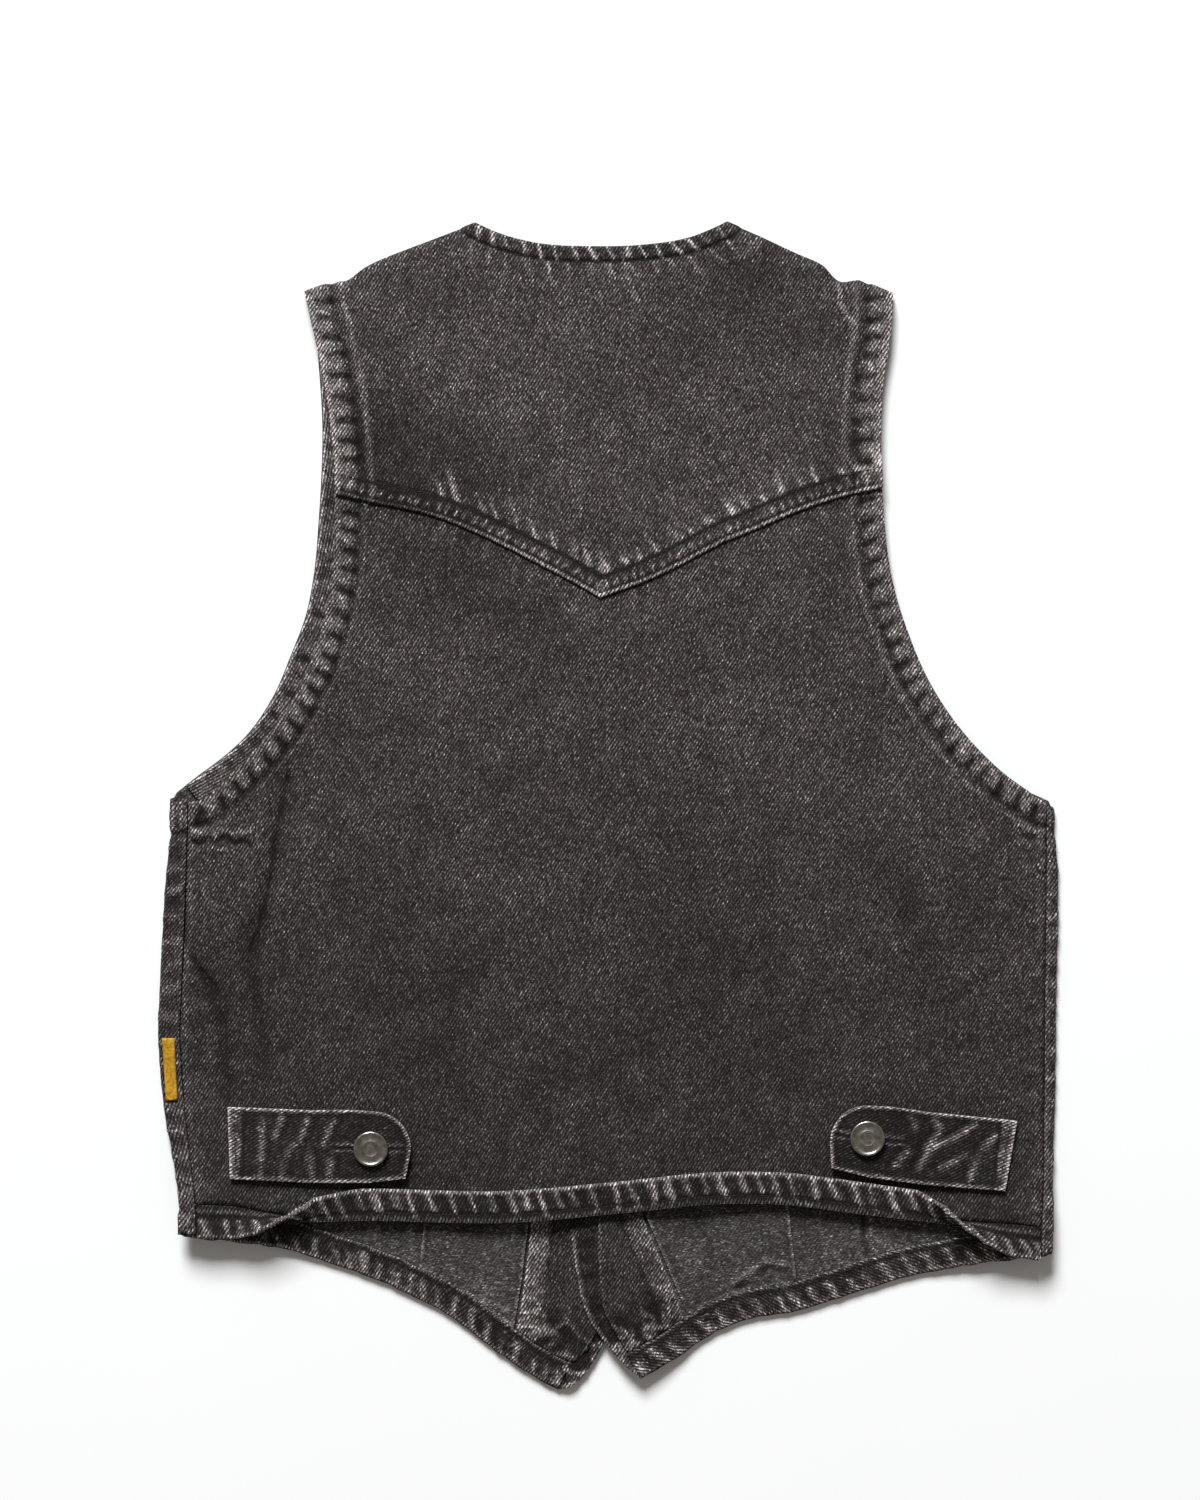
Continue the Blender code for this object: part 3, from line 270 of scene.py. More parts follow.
def noise(x, y, size, layer):
    """Smooth noise from -1 to 1, with features of about that size."""
    u, v = np.asarray(x, float) / size, np.asarray(y, float) / size
    i, j = np.floor(u).astype(int), np.floor(v).astype(int)
    fu, fv = ease(u - i, 0.0, 1.0), ease(v - j, 0.0, 1.0)
    table = LATTICE[:, :, layer]
    a, b = table[i % 64, j % 64], table[(i + 1) % 64, j % 64]
    c, d = table[i % 64, (j + 1) % 64], table[(i + 1) % 64, (j + 1) % 64]
    return (a * (1 - fu) + b * fu) * (1 - fv) + (c * (1 - fu) + d * fu) * fv


def columns(*values):
    return np.stack(values, axis=1)


def unit(vectors):
    return vectors / np.maximum(np.linalg.norm(vectors, axis=1), 1e-12)[:, None]


def run_along(line):
    """The distance along a line at each of its points."""
    return np.concatenate([[0.0], np.cumsum(np.linalg.norm(np.diff(line, axis=0), axis=1))])


def line_length(line):
    return run_along(line)[-1]


def curve(points, step):
    """A smooth curve through the points, with even spacing near step."""
    p = np.asarray(points, float)
    chord = run_along(p)
    slope = np.gradient(p, chord, axis=0)
    fine = []
    for i in range(len(p) - 1):
        t = np.linspace(0.0, 1.0, 24, endpoint=False)[:, None]
        span = chord[i + 1] - chord[i]
        fine.append((2 * t**3 - 3 * t**2 + 1) * p[i] + (t**3 - 2 * t**2 + t) * span * slope[i]
                    + (3 * t**2 - 2 * t**3) * p[i + 1] + (t**3 - t**2) * span * slope[i + 1])
    fine = np.concatenate([*fine, p[-1:]])
    along = run_along(fine)
    at = np.linspace(0.0, along[-1], max(2, round(along[-1] / step) + 1))
    return columns(*(np.interp(at, along, fine[:, k]) for k in range(p.shape[1])))


def outline(*stretches):
    """One closed outline from stretches that follow each other, turned anticlockwise."""
    joined = np.concatenate([s[:-1] if np.allclose(s[-1], t[0], atol=1e-6) else s
                             for s, t in zip(stretches, [*stretches[1:], stretches[0]])])
    return joined if signed_area(joined) > 0 else joined[::-1]


def signed_area(rim):
    following = np.roll(rim, -1, axis=0)
    return (rim[:, 0] * following[:, 1] - rim[:, 1] * following[:, 0]).sum() / 2


def inset(line, distance):
    """The line moved sideways, to its left if distance is positive."""
    along = unit(np.gradient(line, axis=0))
    return line + distance * columns(-along[:, 1], along[:, 0])


def straight_sides(corners, step, first=0):
    """The sides of a closed shape from one corner on, each a row of points."""
    return [curve(pair, step) for pair in zip(corners[first:], np.roll(corners, -1, axis=0)[first:])]


def inside(rim, points):
    """Which points lie in the closed outline."""
    order = np.argsort(points[:, 1])
    px, py = points[order].T
    found = np.zeros(len(points), bool)
    for (ax, ay), (bx, by) in zip(rim, np.roll(rim, -1, axis=0)):
        if ay == by:
            continue
        i, j = np.searchsorted(py, (min(ay, by), max(ay, by)))
        found[i:j] ^= px[i:j] < ax + (py[i:j] - ay) * (bx - ax) / (by - ay)
    result = np.empty(len(points), bool)
    result[order] = found
    return result


def clear(points, line, gap):
    """Which points are farther than the gap from every point of a line."""
    tree = KDTree(len(line))
    for i, (x, y) in enumerate(line):
        tree.insert((x, y, 0.0), i)
    tree.balance()
    return np.array([tree.find((x, y, 0.0))[2] > gap for x, y in points], bool)


def nearest(points, line, reach=None):
    """How far along a line its nearest place is, and how far away it is. Past the reach it counts as far."""
    along, away = np.zeros(len(points)), np.full(len(points), FAR)
    near = np.arange(len(points))
    if reach:
        low, high = line.min(axis=0) - reach, line.max(axis=0) + reach
        near = np.nonzero(((points > low) & (points < high)).all(axis=1))[0]
    lengths = np.linalg.norm(np.diff(line, axis=0), axis=1)
    start = np.concatenate([[0.0], np.cumsum(lengths)[:-1]])
    a, d = line[:-1], np.diff(line, axis=0)
    for k in range(0, len(near), 4000):
        some = near[k:k + 4000]
        rest = points[some, None] - a[None]
        t = np.clip((rest * d).sum(2) / np.maximum(lengths**2, 1e-9), 0.0, 1.0)
        gap = np.linalg.norm(rest - t[..., None] * d, axis=2)
        best = gap.argmin(axis=1)
        rows = np.arange(len(best))
        away[some] = gap[rows, best]
        along[some] = start[best] + t[rows, best] * lengths[best]
    return along, away


def distance(points, line, reach=None):
    return nearest(points, line, reach)[1]


def close_to(points, *lines):
    """Which points are nearer to any of the lines than the gap given with it."""
    return np.any([distance(points, line) < gap for line, gap in lines], axis=0)


def hexagons(low, high, spacing):
    """Points of a slightly wavy triangular grid over a box."""
    count = np.ceil((high - low) / (spacing, spacing * 0.866)).astype(int) + 1
    i, j = np.meshgrid(np.arange(count[0]), np.arange(count[1]))
    return np.stack([i + 0.5 * (j % 2) + 0.1 * np.sin(1.7 * i + 2.3 * j),
                     0.866 * j + 0.1 * np.sin(2.9 * i - 1.3 * j)], axis=2).reshape(-1, 2) * spacing + low


def fill(rim, coarse, fine=None, dense=None, rows=()):
    """Points and triangles that fill a flat outline, with the fine spacing where dense says so."""
    low, high = rim.min(axis=0), rim.max(axis=0)
    around = np.concatenate([rim + (np.roll(rim, -1, axis=0) - rim) * t for t in (0.0, 0.25, 0.5, 0.75)])
    kept = [row[inside(rim, row)] for row in rows]
    kept = [row[clear(row, around, 0.3)] for row in kept if len(row)]

    def grid(spacing, wanted):
        points = hexagons(low, high, spacing)
        points = points[inside(rim, points)]
        points = points[wanted(points)] if dense else points
        points = points[clear(points, around, 0.55 * spacing)]
        return points[clear(points, np.concatenate(kept), 0.6 * spacing)] if kept else points

    parts = [grid(coarse, lambda points: ~dense(points))]
    if fine:
        parts.append(grid(fine, dense))
    points = [Vector(p) for p in np.concatenate([rim, *kept, *parts])]
    flat, _, faces, *_ = delaunay_2d_cdt(points, [], [list(range(len(rim)))], 1, 1e-3)
    return np.array([tuple(p) for p in flat]), np.array([tuple(f) for f in faces])


def normals(points, triangles):
    corners = points[triangles]
    flat = np.cross(corners[:, 1] - corners[:, 0], corners[:, 2] - corners[:, 0])
    total = np.zeros_like(points)
    for k in range(3):
        np.add.at(total, triangles[:, k], flat)
    return unit(total)


def rise(x, y):
    """How far the underside stands off the surface."""
    total = np.zeros_like(x)
    for px, py, reach, height in LIFTS:
        total += height * (1.0 - ease(np.hypot(x - px, y - py), 0.0, reach))
    ridge = 1.0 - ease(np.abs(x - MIDDLE), PLACKET_FLAT, PLACKET_REACH)
    return total + PLACKET_RISE * ridge * (1.0 - ease(y, *PLACKET_TOP)) * ease(y, *PLACKET_FOOT[::-1])


def folds(x, y):
    total = np.zeros_like(x)
    points = columns(x, y)
    for x0, y0, x1, y1, half_width, height in FOLDS:
        total += height * bell(distance(points, np.array([(x0, y0), (x1, y1)])), half_width)
    return total


def back_height(x, y):
    """The middle of the lower back's cloth."""
    crown = 1.0 - ease(np.abs(x - MIDDLE), CROWN_FLAT, CROWN_REACH)
    return rise(x, y) + SIDE_HEIGHT + CROWN * crown * (1.0 - CROWN_LOSS * ease(y, *CROWN_TOP)) + folds(x, y)


def place_back(x, y):
    return columns(x, y, back_height(x, y))


SHOULDERS = [curve(LEFT_SHOULDER, 2.0), curve(RIGHT_SHOULDER, 2.0)]


def place_yoke(x, y):
    """Over the lower back, rolling down to the fronts along the shoulders."""
    points = columns(x, y)
    away = np.minimum(distance(points, SHOULDERS[0]), distance(points, SHOULDERS[1]))
    roll = np.sqrt(1.0 - (1.0 - np.clip(away / SHOULDER_ROLL, 0.0, 1.0)) ** 2)
    return columns(x, y, SHOULDER_EDGE + (back_height(x, y) + YOKE_STEP - SHOULDER_EDGE) * roll)


def side_column(table, y, column):
    rows = np.array(table)[::-1]
    return np.interp(y, rows[:, 0], rows[:, column])


def side_fold(table, side, y):
    """Centre of the fold's bend, its radius and where the bend starts in height, at each y."""
    fold, seam = side_column(table, y, 1), side_column(table, y, 2)
    low = CLOTH / 2 + rise(fold, y)
    radius = (back_height(seam, y) - low) / 2
    return fold - side * (CLOTH / 2 + radius), radius, low


def seam_reach(table, side, y):
    """x on the flat cut of a front's side edge."""
    centre, radius, _ = side_fold(table, side, y)
    return centre + side * (side * (centre - side_column(table, y, 2)) + math.pi * radius - SEAM_GAP)


def place_front(side, above=0.0):
    """A front's place. Its side wraps round the fold, and the right front overlaps the left one."""
    table = LEFT_SIDE if side < 0 else RIGHT_SIDE

    def place(x, y):
        centre, radius, low = side_fold(table, side, y)
        past = side * (x - centre)
        bend = np.clip(past / radius, 0.0, math.pi)
        over = np.maximum(past - math.pi * radius, 0.0)
        flat = past <= 0.0
        step = OVERLAP_STEP * (1.0 - ease(x, OVERLAP_FLAT, OVERLAP_REACH)) * (1.0 - ease(y, *OVERLAP_TOP))
        lying = CLOTH / 2 + rise(x, y) + (step if side > 0 else 0.0)
        px = np.where(flat, x, centre + side * (radius * np.sin(bend) - over))
        pz = np.where(flat, lying, low + radius * (1.0 - np.cos(bend)))
        return columns(px, y, pz + above)

    return place


class Dress:
    """What is on a cloth's face at each flat point: height, wear together with painted light and shade, and
    the cloth's own coordinates.
    """

    def __init__(self, points, wear_and_painted_light=0.0):
        self.points = points
        self.x, self.y = points.T
        self.height = np.zeros(len(points))
        self.wear_and_painted_light = np.full(len(points), float(wear_and_painted_light))
        self.grain = points.copy()
        self.found = {}

    def add(self, strength, height, wear_and_painted_light):
        self.height += height * strength
        self.wear_and_painted_light += wear_and_painted_light * strength
        return self

    def shades(self, table):
        for x, y, radius, wear_and_painted_light in table:
            self.wear_and_painted_light += wear_and_painted_light * bell(np.hypot(self.x - x, self.y - y), radius)
        return self

    def creases(self, table, uneven=0.5):
        for half, height, wear_and_painted_light, corners in table:
            self.stroke(corners, half, height, wear_and_painted_light, uneven)
        return self

    def beside(self, line):
        """Along and away from a line, worked out once for each line."""
        if id(line) not in self.found:
            self.found[id(line)] = (line, nearest(self.points, line, 40.0))
        return self.found[id(line)][1]

    def clouds(self, amount=1.0):
        """Uneven fading and the slight unevenness of cloth that lies loose."""
        x, y = self.x, self.y
        self.wear_and_painted_light += amount * (0.03 * noise(x, y, 40.0, 0) + 0.025 * noise(x, y, 13.0, 1)
                               + 0.03 * noise(x, y, 5.0, 2))
        self.height += amount * (0.14 * noise(x, y, 30.0, 3) + 0.06 * noise(x, y, 11.0, 4))
        return self

    def marks(self, line, kind, seed, span=(0.0, FAR), mirror=1, groove=0.0):
        """A row of marks beside a line, uneven in place, length and strength."""
        spacing, window, half, lean, height, wear_and_painted_light, skew, taper, rough = MARKS[kind]
        window = (*window[:2], groove + window[2], groove + window[3])
        lean *= mirror
        along, away = self.beside(line)
        rng = np.random.default_rng(seed)
        at = span[0] + spacing * rng.uniform(0.2, 0.8)
        middle = (window[0] + window[3]) / 2
        near = np.nonzero(away < 1.3 * window[3])[0]
        while at < min(line_length(line), span[1]):
            least = (1.0 - 0.6 * rough, 1.0 - 1.1 * rough, -0.4 * rough, 1.0 - 0.5 * rough)
            most = (1.0 + 0.8 * rough, 1.0 + 0.3 * rough, 0.4 * rough, 1.0 + 0.3 * rough)
            wide, strong, slant, grown = rng.uniform(least, most)
            off = along[near] - at - (lean + slant) * (away[near] - middle)
            some = near[np.abs(off) < 3.0 * half * wide * max(1.0, skew) * (1.0 + 0.5 * abs(taper))]
            off = along[some] - at - (lean + slant) * (away[some] - middle)
            off = off + rough * half * noise(self.x[some], self.y[some], 4.0, 23)
            half_here = half * wide * np.where(off > 0.0, 1.0, skew)
            half_here = half_here * (1.0 + taper * (away[some] / window[3] - 0.5))
            reach = ease(away[some], window[0], window[1])
            reach = reach * (1.0 - ease(away[some], window[2] * grown, window[3] * grown))
            mark = strong * bell(off, half_here) * reach
            self.height[some] += height * mark
            self.wear_and_painted_light[some] += wear_and_painted_light * mark
            at += spacing * (1.0 + 0.56 * rough * rng.uniform(-1.0, 1.0))
        return self

    def stroke(self, corners, half, height, wear_and_painted_light, uneven=0.5):
        """One crease along a short bent line."""
        strength = bell(distance(self.points, np.asarray(corners, float), 3.0 * half), half)
        strength *= 1.0 - 0.3 * uneven + uneven * noise(self.x, self.y, 6.0, 23)
        return self.add(strength, height, wear_and_painted_light)

    def line(self, line, at, width, height, wear_and_painted_light, span=None):
        """A groove or ridge that runs beside a line, or beside a stretch of it."""
        along, away = self.beside(line)
        strength = bell(away - at, width)
        if span:
            strength *= ease(along, span[0] - 4.0, span[0] + 4.0)
            strength *= 1.0 - ease(along, span[1] - 4.0, span[1] + 4.0)
        return self.add(strength, height, wear_and_painted_light)

    def band(self, line, width, height=BAND_RELIEF, slope=BAND_SLOPE):
        self.height += height * (1.0 - ease(self.beside(line)[1], width - slope, width))
        return self

    def crumple(self, strength, size, height, wear_and_painted_light, layer):
        """A net of small sharp folds."""
        fold = np.clip(1.0 - 3.2 * np.abs(noise(self.x, self.y, size, layer)), 0.0, 1.0)
        self.height += height * strength * fold
        self.wear_and_painted_light += wear_and_painted_light * strength * (fold - 0.3)
        return self

    def grain_along(self, line, width, angle):
        """In a band beside a line, the cloth's own threads follow the line at that angle."""
        along, away = self.beside(line)
        turn = math.radians(angle)
        turned = columns(along * math.cos(turn) - away * math.sin(turn),
                         along * math.sin(turn) + away * math.cos(turn))
        self.grain = np.where((away < width)[:, None], turned, self.grain)
        return self


def add_mesh(name, points, faces, looks, indices=None, values=None):
    """An object from points in millimetres. Values are its per-point attributes."""
    mesh = bpy.data.meshes.new(name)
    mesh.from_pydata((np.asarray(points) * MM).tolist(), [], [list(map(int, f)) for f in faces])
    mesh.shade_smooth()
    for look in looks:
        mesh.materials.append(look)
    if indices is not None:
        mesh.polygons.foreach_set("material_index", np.asarray(indices, np.int32))
    for key, value in (values or {}).items():
        value = np.asarray(value, np.float32)
        kind = "FLOAT" if value.ndim == 1 else "FLOAT_VECTOR"
        layer = mesh.attributes.new(key, kind, "POINT")
        layer.data.foreach_set("value" if value.ndim == 1 else "vector", value.ravel())
    made = bpy.data.objects.new(name, mesh)
    bpy.context.scene.collection.objects.link(made)
    return made


def shell_faces(triangles, count):
    """Faces of a closed shell: the triangles, their copies on the other side and the walls along the rim."""
    ends = {(t[k], t[(k + 1) % 3]) for t in triangles.tolist() for k in range(3)}
    rim = sorted(e for e in ends if (e[1], e[0]) not in ends)
    walls = [w for a, b in rim for w in ((b, a, a + count), (b, a + count, b + count))]
    return [*triangles.tolist(), *(triangles[:, ::-1] + count).tolist(), *walls]


def shell_values(top, low):
    return {"wear_and_painted_light": np.concatenate([top.wear_and_painted_light, low.wear_and_painted_light]),
            "grain": np.pad(np.concatenate([top.grain, low.grain]), ((0, 0), (0, 1)))}


class Panel:
    """A cut piece of cloth: its flat outline, its place in space and how its faces are dressed."""

    def __init__(self, name, rim, place, thickness, face, back=None):
        self.name, self.rim, self.place, self.half = name, rim, place, thickness / 2
        self.face, self.back = face, back

    def build(self, looks, coarse, fine=None, dense=None, rows=(), turned=None):
        """A closed shell. Looks are its upper and lower materials, and a turned edge shows the lower one."""
        flat, triangles = fill(self.rim, coarse, fine, dense, rows)
        middle = self.place(flat[:, 0], flat[:, 1])
        normal = normals(middle, triangles)
        top = self.face(flat)
        low = self.back(flat) if self.back else Dress(flat, 0.2)
        low.height = low.height + np.maximum(-top.height - 0.4, 0.0)
        points = np.concatenate([middle + normal * (self.half + top.height)[:, None],
                                 middle - normal * (self.half + low.height)[:, None]])
        points[:, 2] = np.maximum(points[:, 2], 0.02)
        faces = shell_faces(triangles, len(flat))
        indices = np.zeros(len(faces), int)
        indices[len(triangles):] = len(looks) - 1
        if turned:
            indices[:len(triangles)][turned(flat[triangles].mean(axis=1))] = len(looks) - 1
        return add_mesh(self.name, points, faces, looks, indices, shell_values(top, low))

    def top(self, flat):
        """Points on the upper face, and the face's direction there."""
        step = 0.05
        x, y = flat.T
        middle = self.place(x, y)
        normal = unit(np.cross(self.place(x + step, y) - middle, self.place(x, y + step) - middle))
        return middle + normal * (self.half + self.face(flat).height)[:, None], normal


def stitch_row(name, surface, line, length=2.5, gap=0.9):
    """A row of thread stitches along a flat line. Surface gives points and directions on the cloth."""
    pitch = length + gap
    path = curve(line, 0.4)
    along = run_along(path)
    starts = np.arange(0.4 * pitch, along[-1] - pitch, pitch)
    shares = np.array([-0.5, -0.32, 0.0, 0.32, 0.5])
    girths = np.array([0.25, 0.85, 1.0, 0.85, 0.25])
    sinks = np.array([-0.22, 0.0, 0.08, 0.0, -0.22])
    at = (starts[:, None] + length / 2 + shares * length).ravel()
    flat = columns(*(np.interp(at, along, path[:, k]) for k in range(2)))
    points, normal = surface(flat)
    tangent = unit(np.gradient(points.reshape(len(starts), 5, 3), axis=1).reshape(-1, 3))
    side = np.cross(normal, tangent)
    girth = np.tile(girths, len(starts))[:, None] * THREAD_RADIUS
    centre = points + normal * (THREAD_PROUD + np.tile(sinks, len(starts)))[:, None]
    turns = np.linspace(0.0, 2.0 * math.pi, 6, endpoint=False)
    rings = columns(*(centre + girth * (math.cos(t) * side + 0.8 * math.sin(t) * normal) for t in turns))
    faces = []
    for k in range(len(starts)):
        base = k * 30
        for ring in range(4):
            for j in range(6):
                a, b = base + ring * 6 + j, base + ring * 6 + (j + 1) % 6
                faces.append((a, b, b + 6, a + 6))
        faces.append(tuple(base + j for j in range(5, -1, -1)))
        faces.append(tuple(base + 24 + j for j in range(6)))
    return dress_piece(add_mesh(name, rings.reshape(-1, 3), faces, [THREAD]))


class Graph:
    """A material and its nodes."""

    def __init__(self, name):
        self.material = bpy.data.materials.new(name)
        self.material.use_nodes = True
        self.tree = self.material.node_tree
        self.tree.nodes.clear()

    def new(self, kind, inputs=None, **settings):
        """A node with its settings. Its inputs are values or other nodes' outputs."""
        node = self.tree.nodes.new(kind)
        for key, value in settings.items():
            setattr(node, key, value)
        for key, value in (inputs or {}).items():
            if isinstance(value, bpy.types.NodeSocket):
                self.tree.links.new(value, node.inputs[key])
            else:
                node.inputs[key].default_value = value
        return node

    def math(self, operation, *values, clamp=False):
        inputs = dict(enumerate(values))
        return self.new("ShaderNodeMath", inputs, operation=operation, use_clamp=clamp).outputs[0]

    def noise(self, vector, scale, detail=2.0, roughness=0.5):
        inputs = {"Vector": vector, "Scale": scale, "Detail": detail, "Roughness": roughness}
        return self.new("ShaderNodeTexNoise", inputs).outputs["Fac"]

    def finish(self, **inputs):
        """The material with these inputs of its shader, whose names have _ for a space."""
        named = {key.replace("_", " "): value for key, value in inputs.items()}
        shader = self.new("ShaderNodeBsdfPrincipled", named)
        self.new("ShaderNodeOutputMaterial", {0: shader.outputs[0]})
        return self.material


def denim(name, dark, pale, gain, lift, streaked=False):
    """Twill cloth. Wear, and the painted light and shade laid on it, show as pale flecks along its lines. The
    wrong side is streaked across instead.
    """
    graph = Graph(name)
    grain = graph.new("ShaderNodeAttribute", attribute_name="grain").outputs["Vector"]
    wear_and_painted_light = graph.new("ShaderNodeAttribute", attribute_name="wear_and_painted_light").outputs["Fac"]
    u, v, _ = graph.new("ShaderNodeSeparateXYZ", {0: grain}).outputs
    phase = graph.math("SUBTRACT", graph.math("DIVIDE", u, TWILL_ACROSS), graph.math("DIVIDE", v, TWILL_UP))
    phase = graph.math("MULTIPLY_ADD", graph.noise(grain, 0.22), 0.3, phase)
    swing = graph.math("COSINE", graph.math("MULTIPLY", phase, 2.0 * math.pi))
    stretch = (0.42, 1.0) if streaked else (1.0, 0.5)
    stretched = [graph.math("MULTIPLY", value, scale) for value, scale in zip((u, v), stretch)]
    yarn = graph.new("ShaderNodeCombineXYZ", dict(enumerate(stretched))).outputs[0]
    cells = graph.new("ShaderNodeTexVoronoi", {"Scale": FLECK_SCALE, "Vector": yarn}, voronoi_dimensions="2D")
    red, green, blue = graph.new("ShaderNodeSeparateColor", {0: cells.outputs["Color"]}).outputs
    luck = graph.math("ADD", graph.math("ADD", red, green), blue)
    luck = graph.math("MULTIPLY_ADD", luck, 2.0, -3.0)
    ridge = graph.math("POWER", WAVE_WRONG if streaked else WAVE_FACE, swing)
    fleck = graph.math("MULTIPLY", ridge, graph.math("POWER", LUCK, luck))
    fleck = graph.math("MULTIPLY", fleck, FLECK_MEAN)
    cloud = graph.math("MULTIPLY_ADD", graph.noise(grain, 0.06, 3.0, 0.55), 0.7, 0.65)
    amount = graph.math("MULTIPLY", graph.math("MULTIPLY_ADD", wear_and_painted_light, gain, lift), cloud)
    amount = graph.math("MAXIMUM", amount, FLECK_FLOOR)
    amount = graph.math("MULTIPLY", amount, graph.math("MULTIPLY_ADD", amount, 0.7, 0.86))
    share = graph.math("MULTIPLY", fleck, amount, clamp=True)
    warm, cool = ((pale[0] * r, pale[1], pale[2] * b, 1.0) for r, b in ((1.08, 0.9), (0.92, 1.1)))
    tint = graph.new("ShaderNodeMix", {"A": warm, "B": cool, "Factor": green}, data_type="RGBA")
    inputs = {"A": (*dark, 1.0), "B": tint.outputs["Result"], "Factor": share}
    mix = graph.new("ShaderNodeMix", inputs, data_type="RGBA")
    grit = graph.noise(grain, 0.8, 2.0, 0.65)
    relief = graph.math("MULTIPLY_ADD", swing, 0.3, grit)
    bump = graph.new("ShaderNodeBump", {"Strength": 0.55, "Distance": 0.22 * MM, "Height": relief})
    return graph.finish(Base_Color=mix.outputs["Result"], Normal=bump.outputs[0], Specular_IOR_Level=0.05,
                        Roughness=graph.math("MULTIPLY_ADD", grit, 0.12, 0.8))


def speckled(name, low, high, scale, roughness, metallic=0.0, bump_mm=0.05, specular=0.5):
    """A plain material with a fine uneven colour, roughness and surface."""
    graph = Graph(name)
    grain = graph.noise(graph.new("ShaderNodeTexCoord").outputs["Object"], scale, 4.0)
    ramp = graph.new("ShaderNodeValToRGB", {0: grain})
    for element, position, colour in zip(ramp.color_ramp.elements, (0.3, 0.7), (low, high)):
        element.position, element.color = position, (*colour, 1.0)
    rough = graph.new("ShaderNodeMapRange", {"Value": grain, "To Min": roughness[0], "To Max": roughness[1]})
    bump = graph.new("ShaderNodeBump", {"Strength": 0.4, "Distance": bump_mm * MM, "Height": grain})
    return graph.finish(Base_Color=ramp.outputs[0], Normal=bump.outputs[0], Roughness=rough.outputs[0],
                        Metallic=metallic, Specular_IOR_Level=specular)


FACE = denim("denim_face", (0.0085, 0.0066, 0.0064), (0.88, 0.78, 0.755), 1.0, 0.01)
WRONG = denim("denim_wrong_side", (0.0165, 0.0135, 0.013), (0.72, 0.66, 0.645), 1.38, 0.054, streaked=True)
THREAD = speckled("thread", (0.006, 0.005, 0.005), (0.02, 0.018, 0.018), 900.0, (0.6, 0.8), specular=0.25)
METAL = speckled("dull_nickel", (0.24, 0.22, 0.19), (0.44, 0.42, 0.38), 420.0, (0.24, 0.40), 1.0, 0.03)
TAPE = speckled("mustard_tape", (0.26, 0.12, 0.006), (0.60, 0.33, 0.02), 700.0, (0.7, 0.9), 0.0, 0.12, 0.2)
FLOOR = speckled("pale_floor", (0.86, 0.865, 0.87), (0.875, 0.88, 0.885), 3.0, (0.85, 0.95), 0.0, 0.0, 0.1)


def dress_piece(made, nodes=()):
    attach(made, "root")
    if nodes:
        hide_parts(*nodes)
    return made


def declare(strip=None):
    """Does nothing: it states no cut, with or without a strip's width and length."""
    if strip:
        return


YOKE_LEFT, YOKE_RIGHT = curve(LEFT_YOKE_ARMHOLE, 2.5), curve(RIGHT_YOKE_ARMHOLE, 2.5)
YOKE_SEAM = np.concatenate([curve(LEFT_YOKE_SEAM, 2.5), curve(RIGHT_YOKE_SEAM, 2.5)[1:]])
NECK_LINE = curve(NECK, 2.5)
BACK_LEFT, BACK_RIGHT = curve(LEFT_BACK_ARMHOLE, 2.5), curve(RIGHT_BACK_ARMHOLE, 2.5)
LEFT_ARMHOLE = np.concatenate([YOKE_LEFT, BACK_LEFT[BACK_LEFT[:, 1] < 150.0]])
RIGHT_ARMHOLE = np.concatenate([YOKE_RIGHT, BACK_RIGHT[BACK_RIGHT[:, 1] < 150.0]])
LEFT_SEAM, RIGHT_SEAM = (np.array(table)[:, 2::-2] for table in (LEFT_SIDE, RIGHT_SIDE))


def seam_above(x):
    """y of the yoke's seam."""
    return np.interp(x, YOKE_SEAM[:, 0], YOKE_SEAM[:, 1])


def dress_armhole(dress, line, seed, span, pale, edge, groove, ridge):
    """The turned armhole edge: pale worn pads between dents darkened as painted shade, a groove with slight
    painted shade and the allowance's ridge.
    """
    away = dress.beside(line)[1]
    dress.band(line, groove - 0.8, 0.6, 2.4)
    dress.wear_and_painted_light += pale * (1.0 - ease(away, 8.0, groove - 0.4)) + edge * (1.0 - ease(away, 0.2, 3.0))
    between_dents = (span[0] + 4.7, span[1] + 4.7)
    dress.marks(line, "armhole_pads", seed, between_dents)
    # The dents, and the groove after them, are darkened as painted shade.
    dress.marks(line, "armhole_dents", seed, span, groove=groove)
    dress.line(line, groove, 1.2, -0.45, -0.03)
    at, width, height, wear_and_painted_light = ridge
    return dress.line(line, at, width, height, wear_and_painted_light)


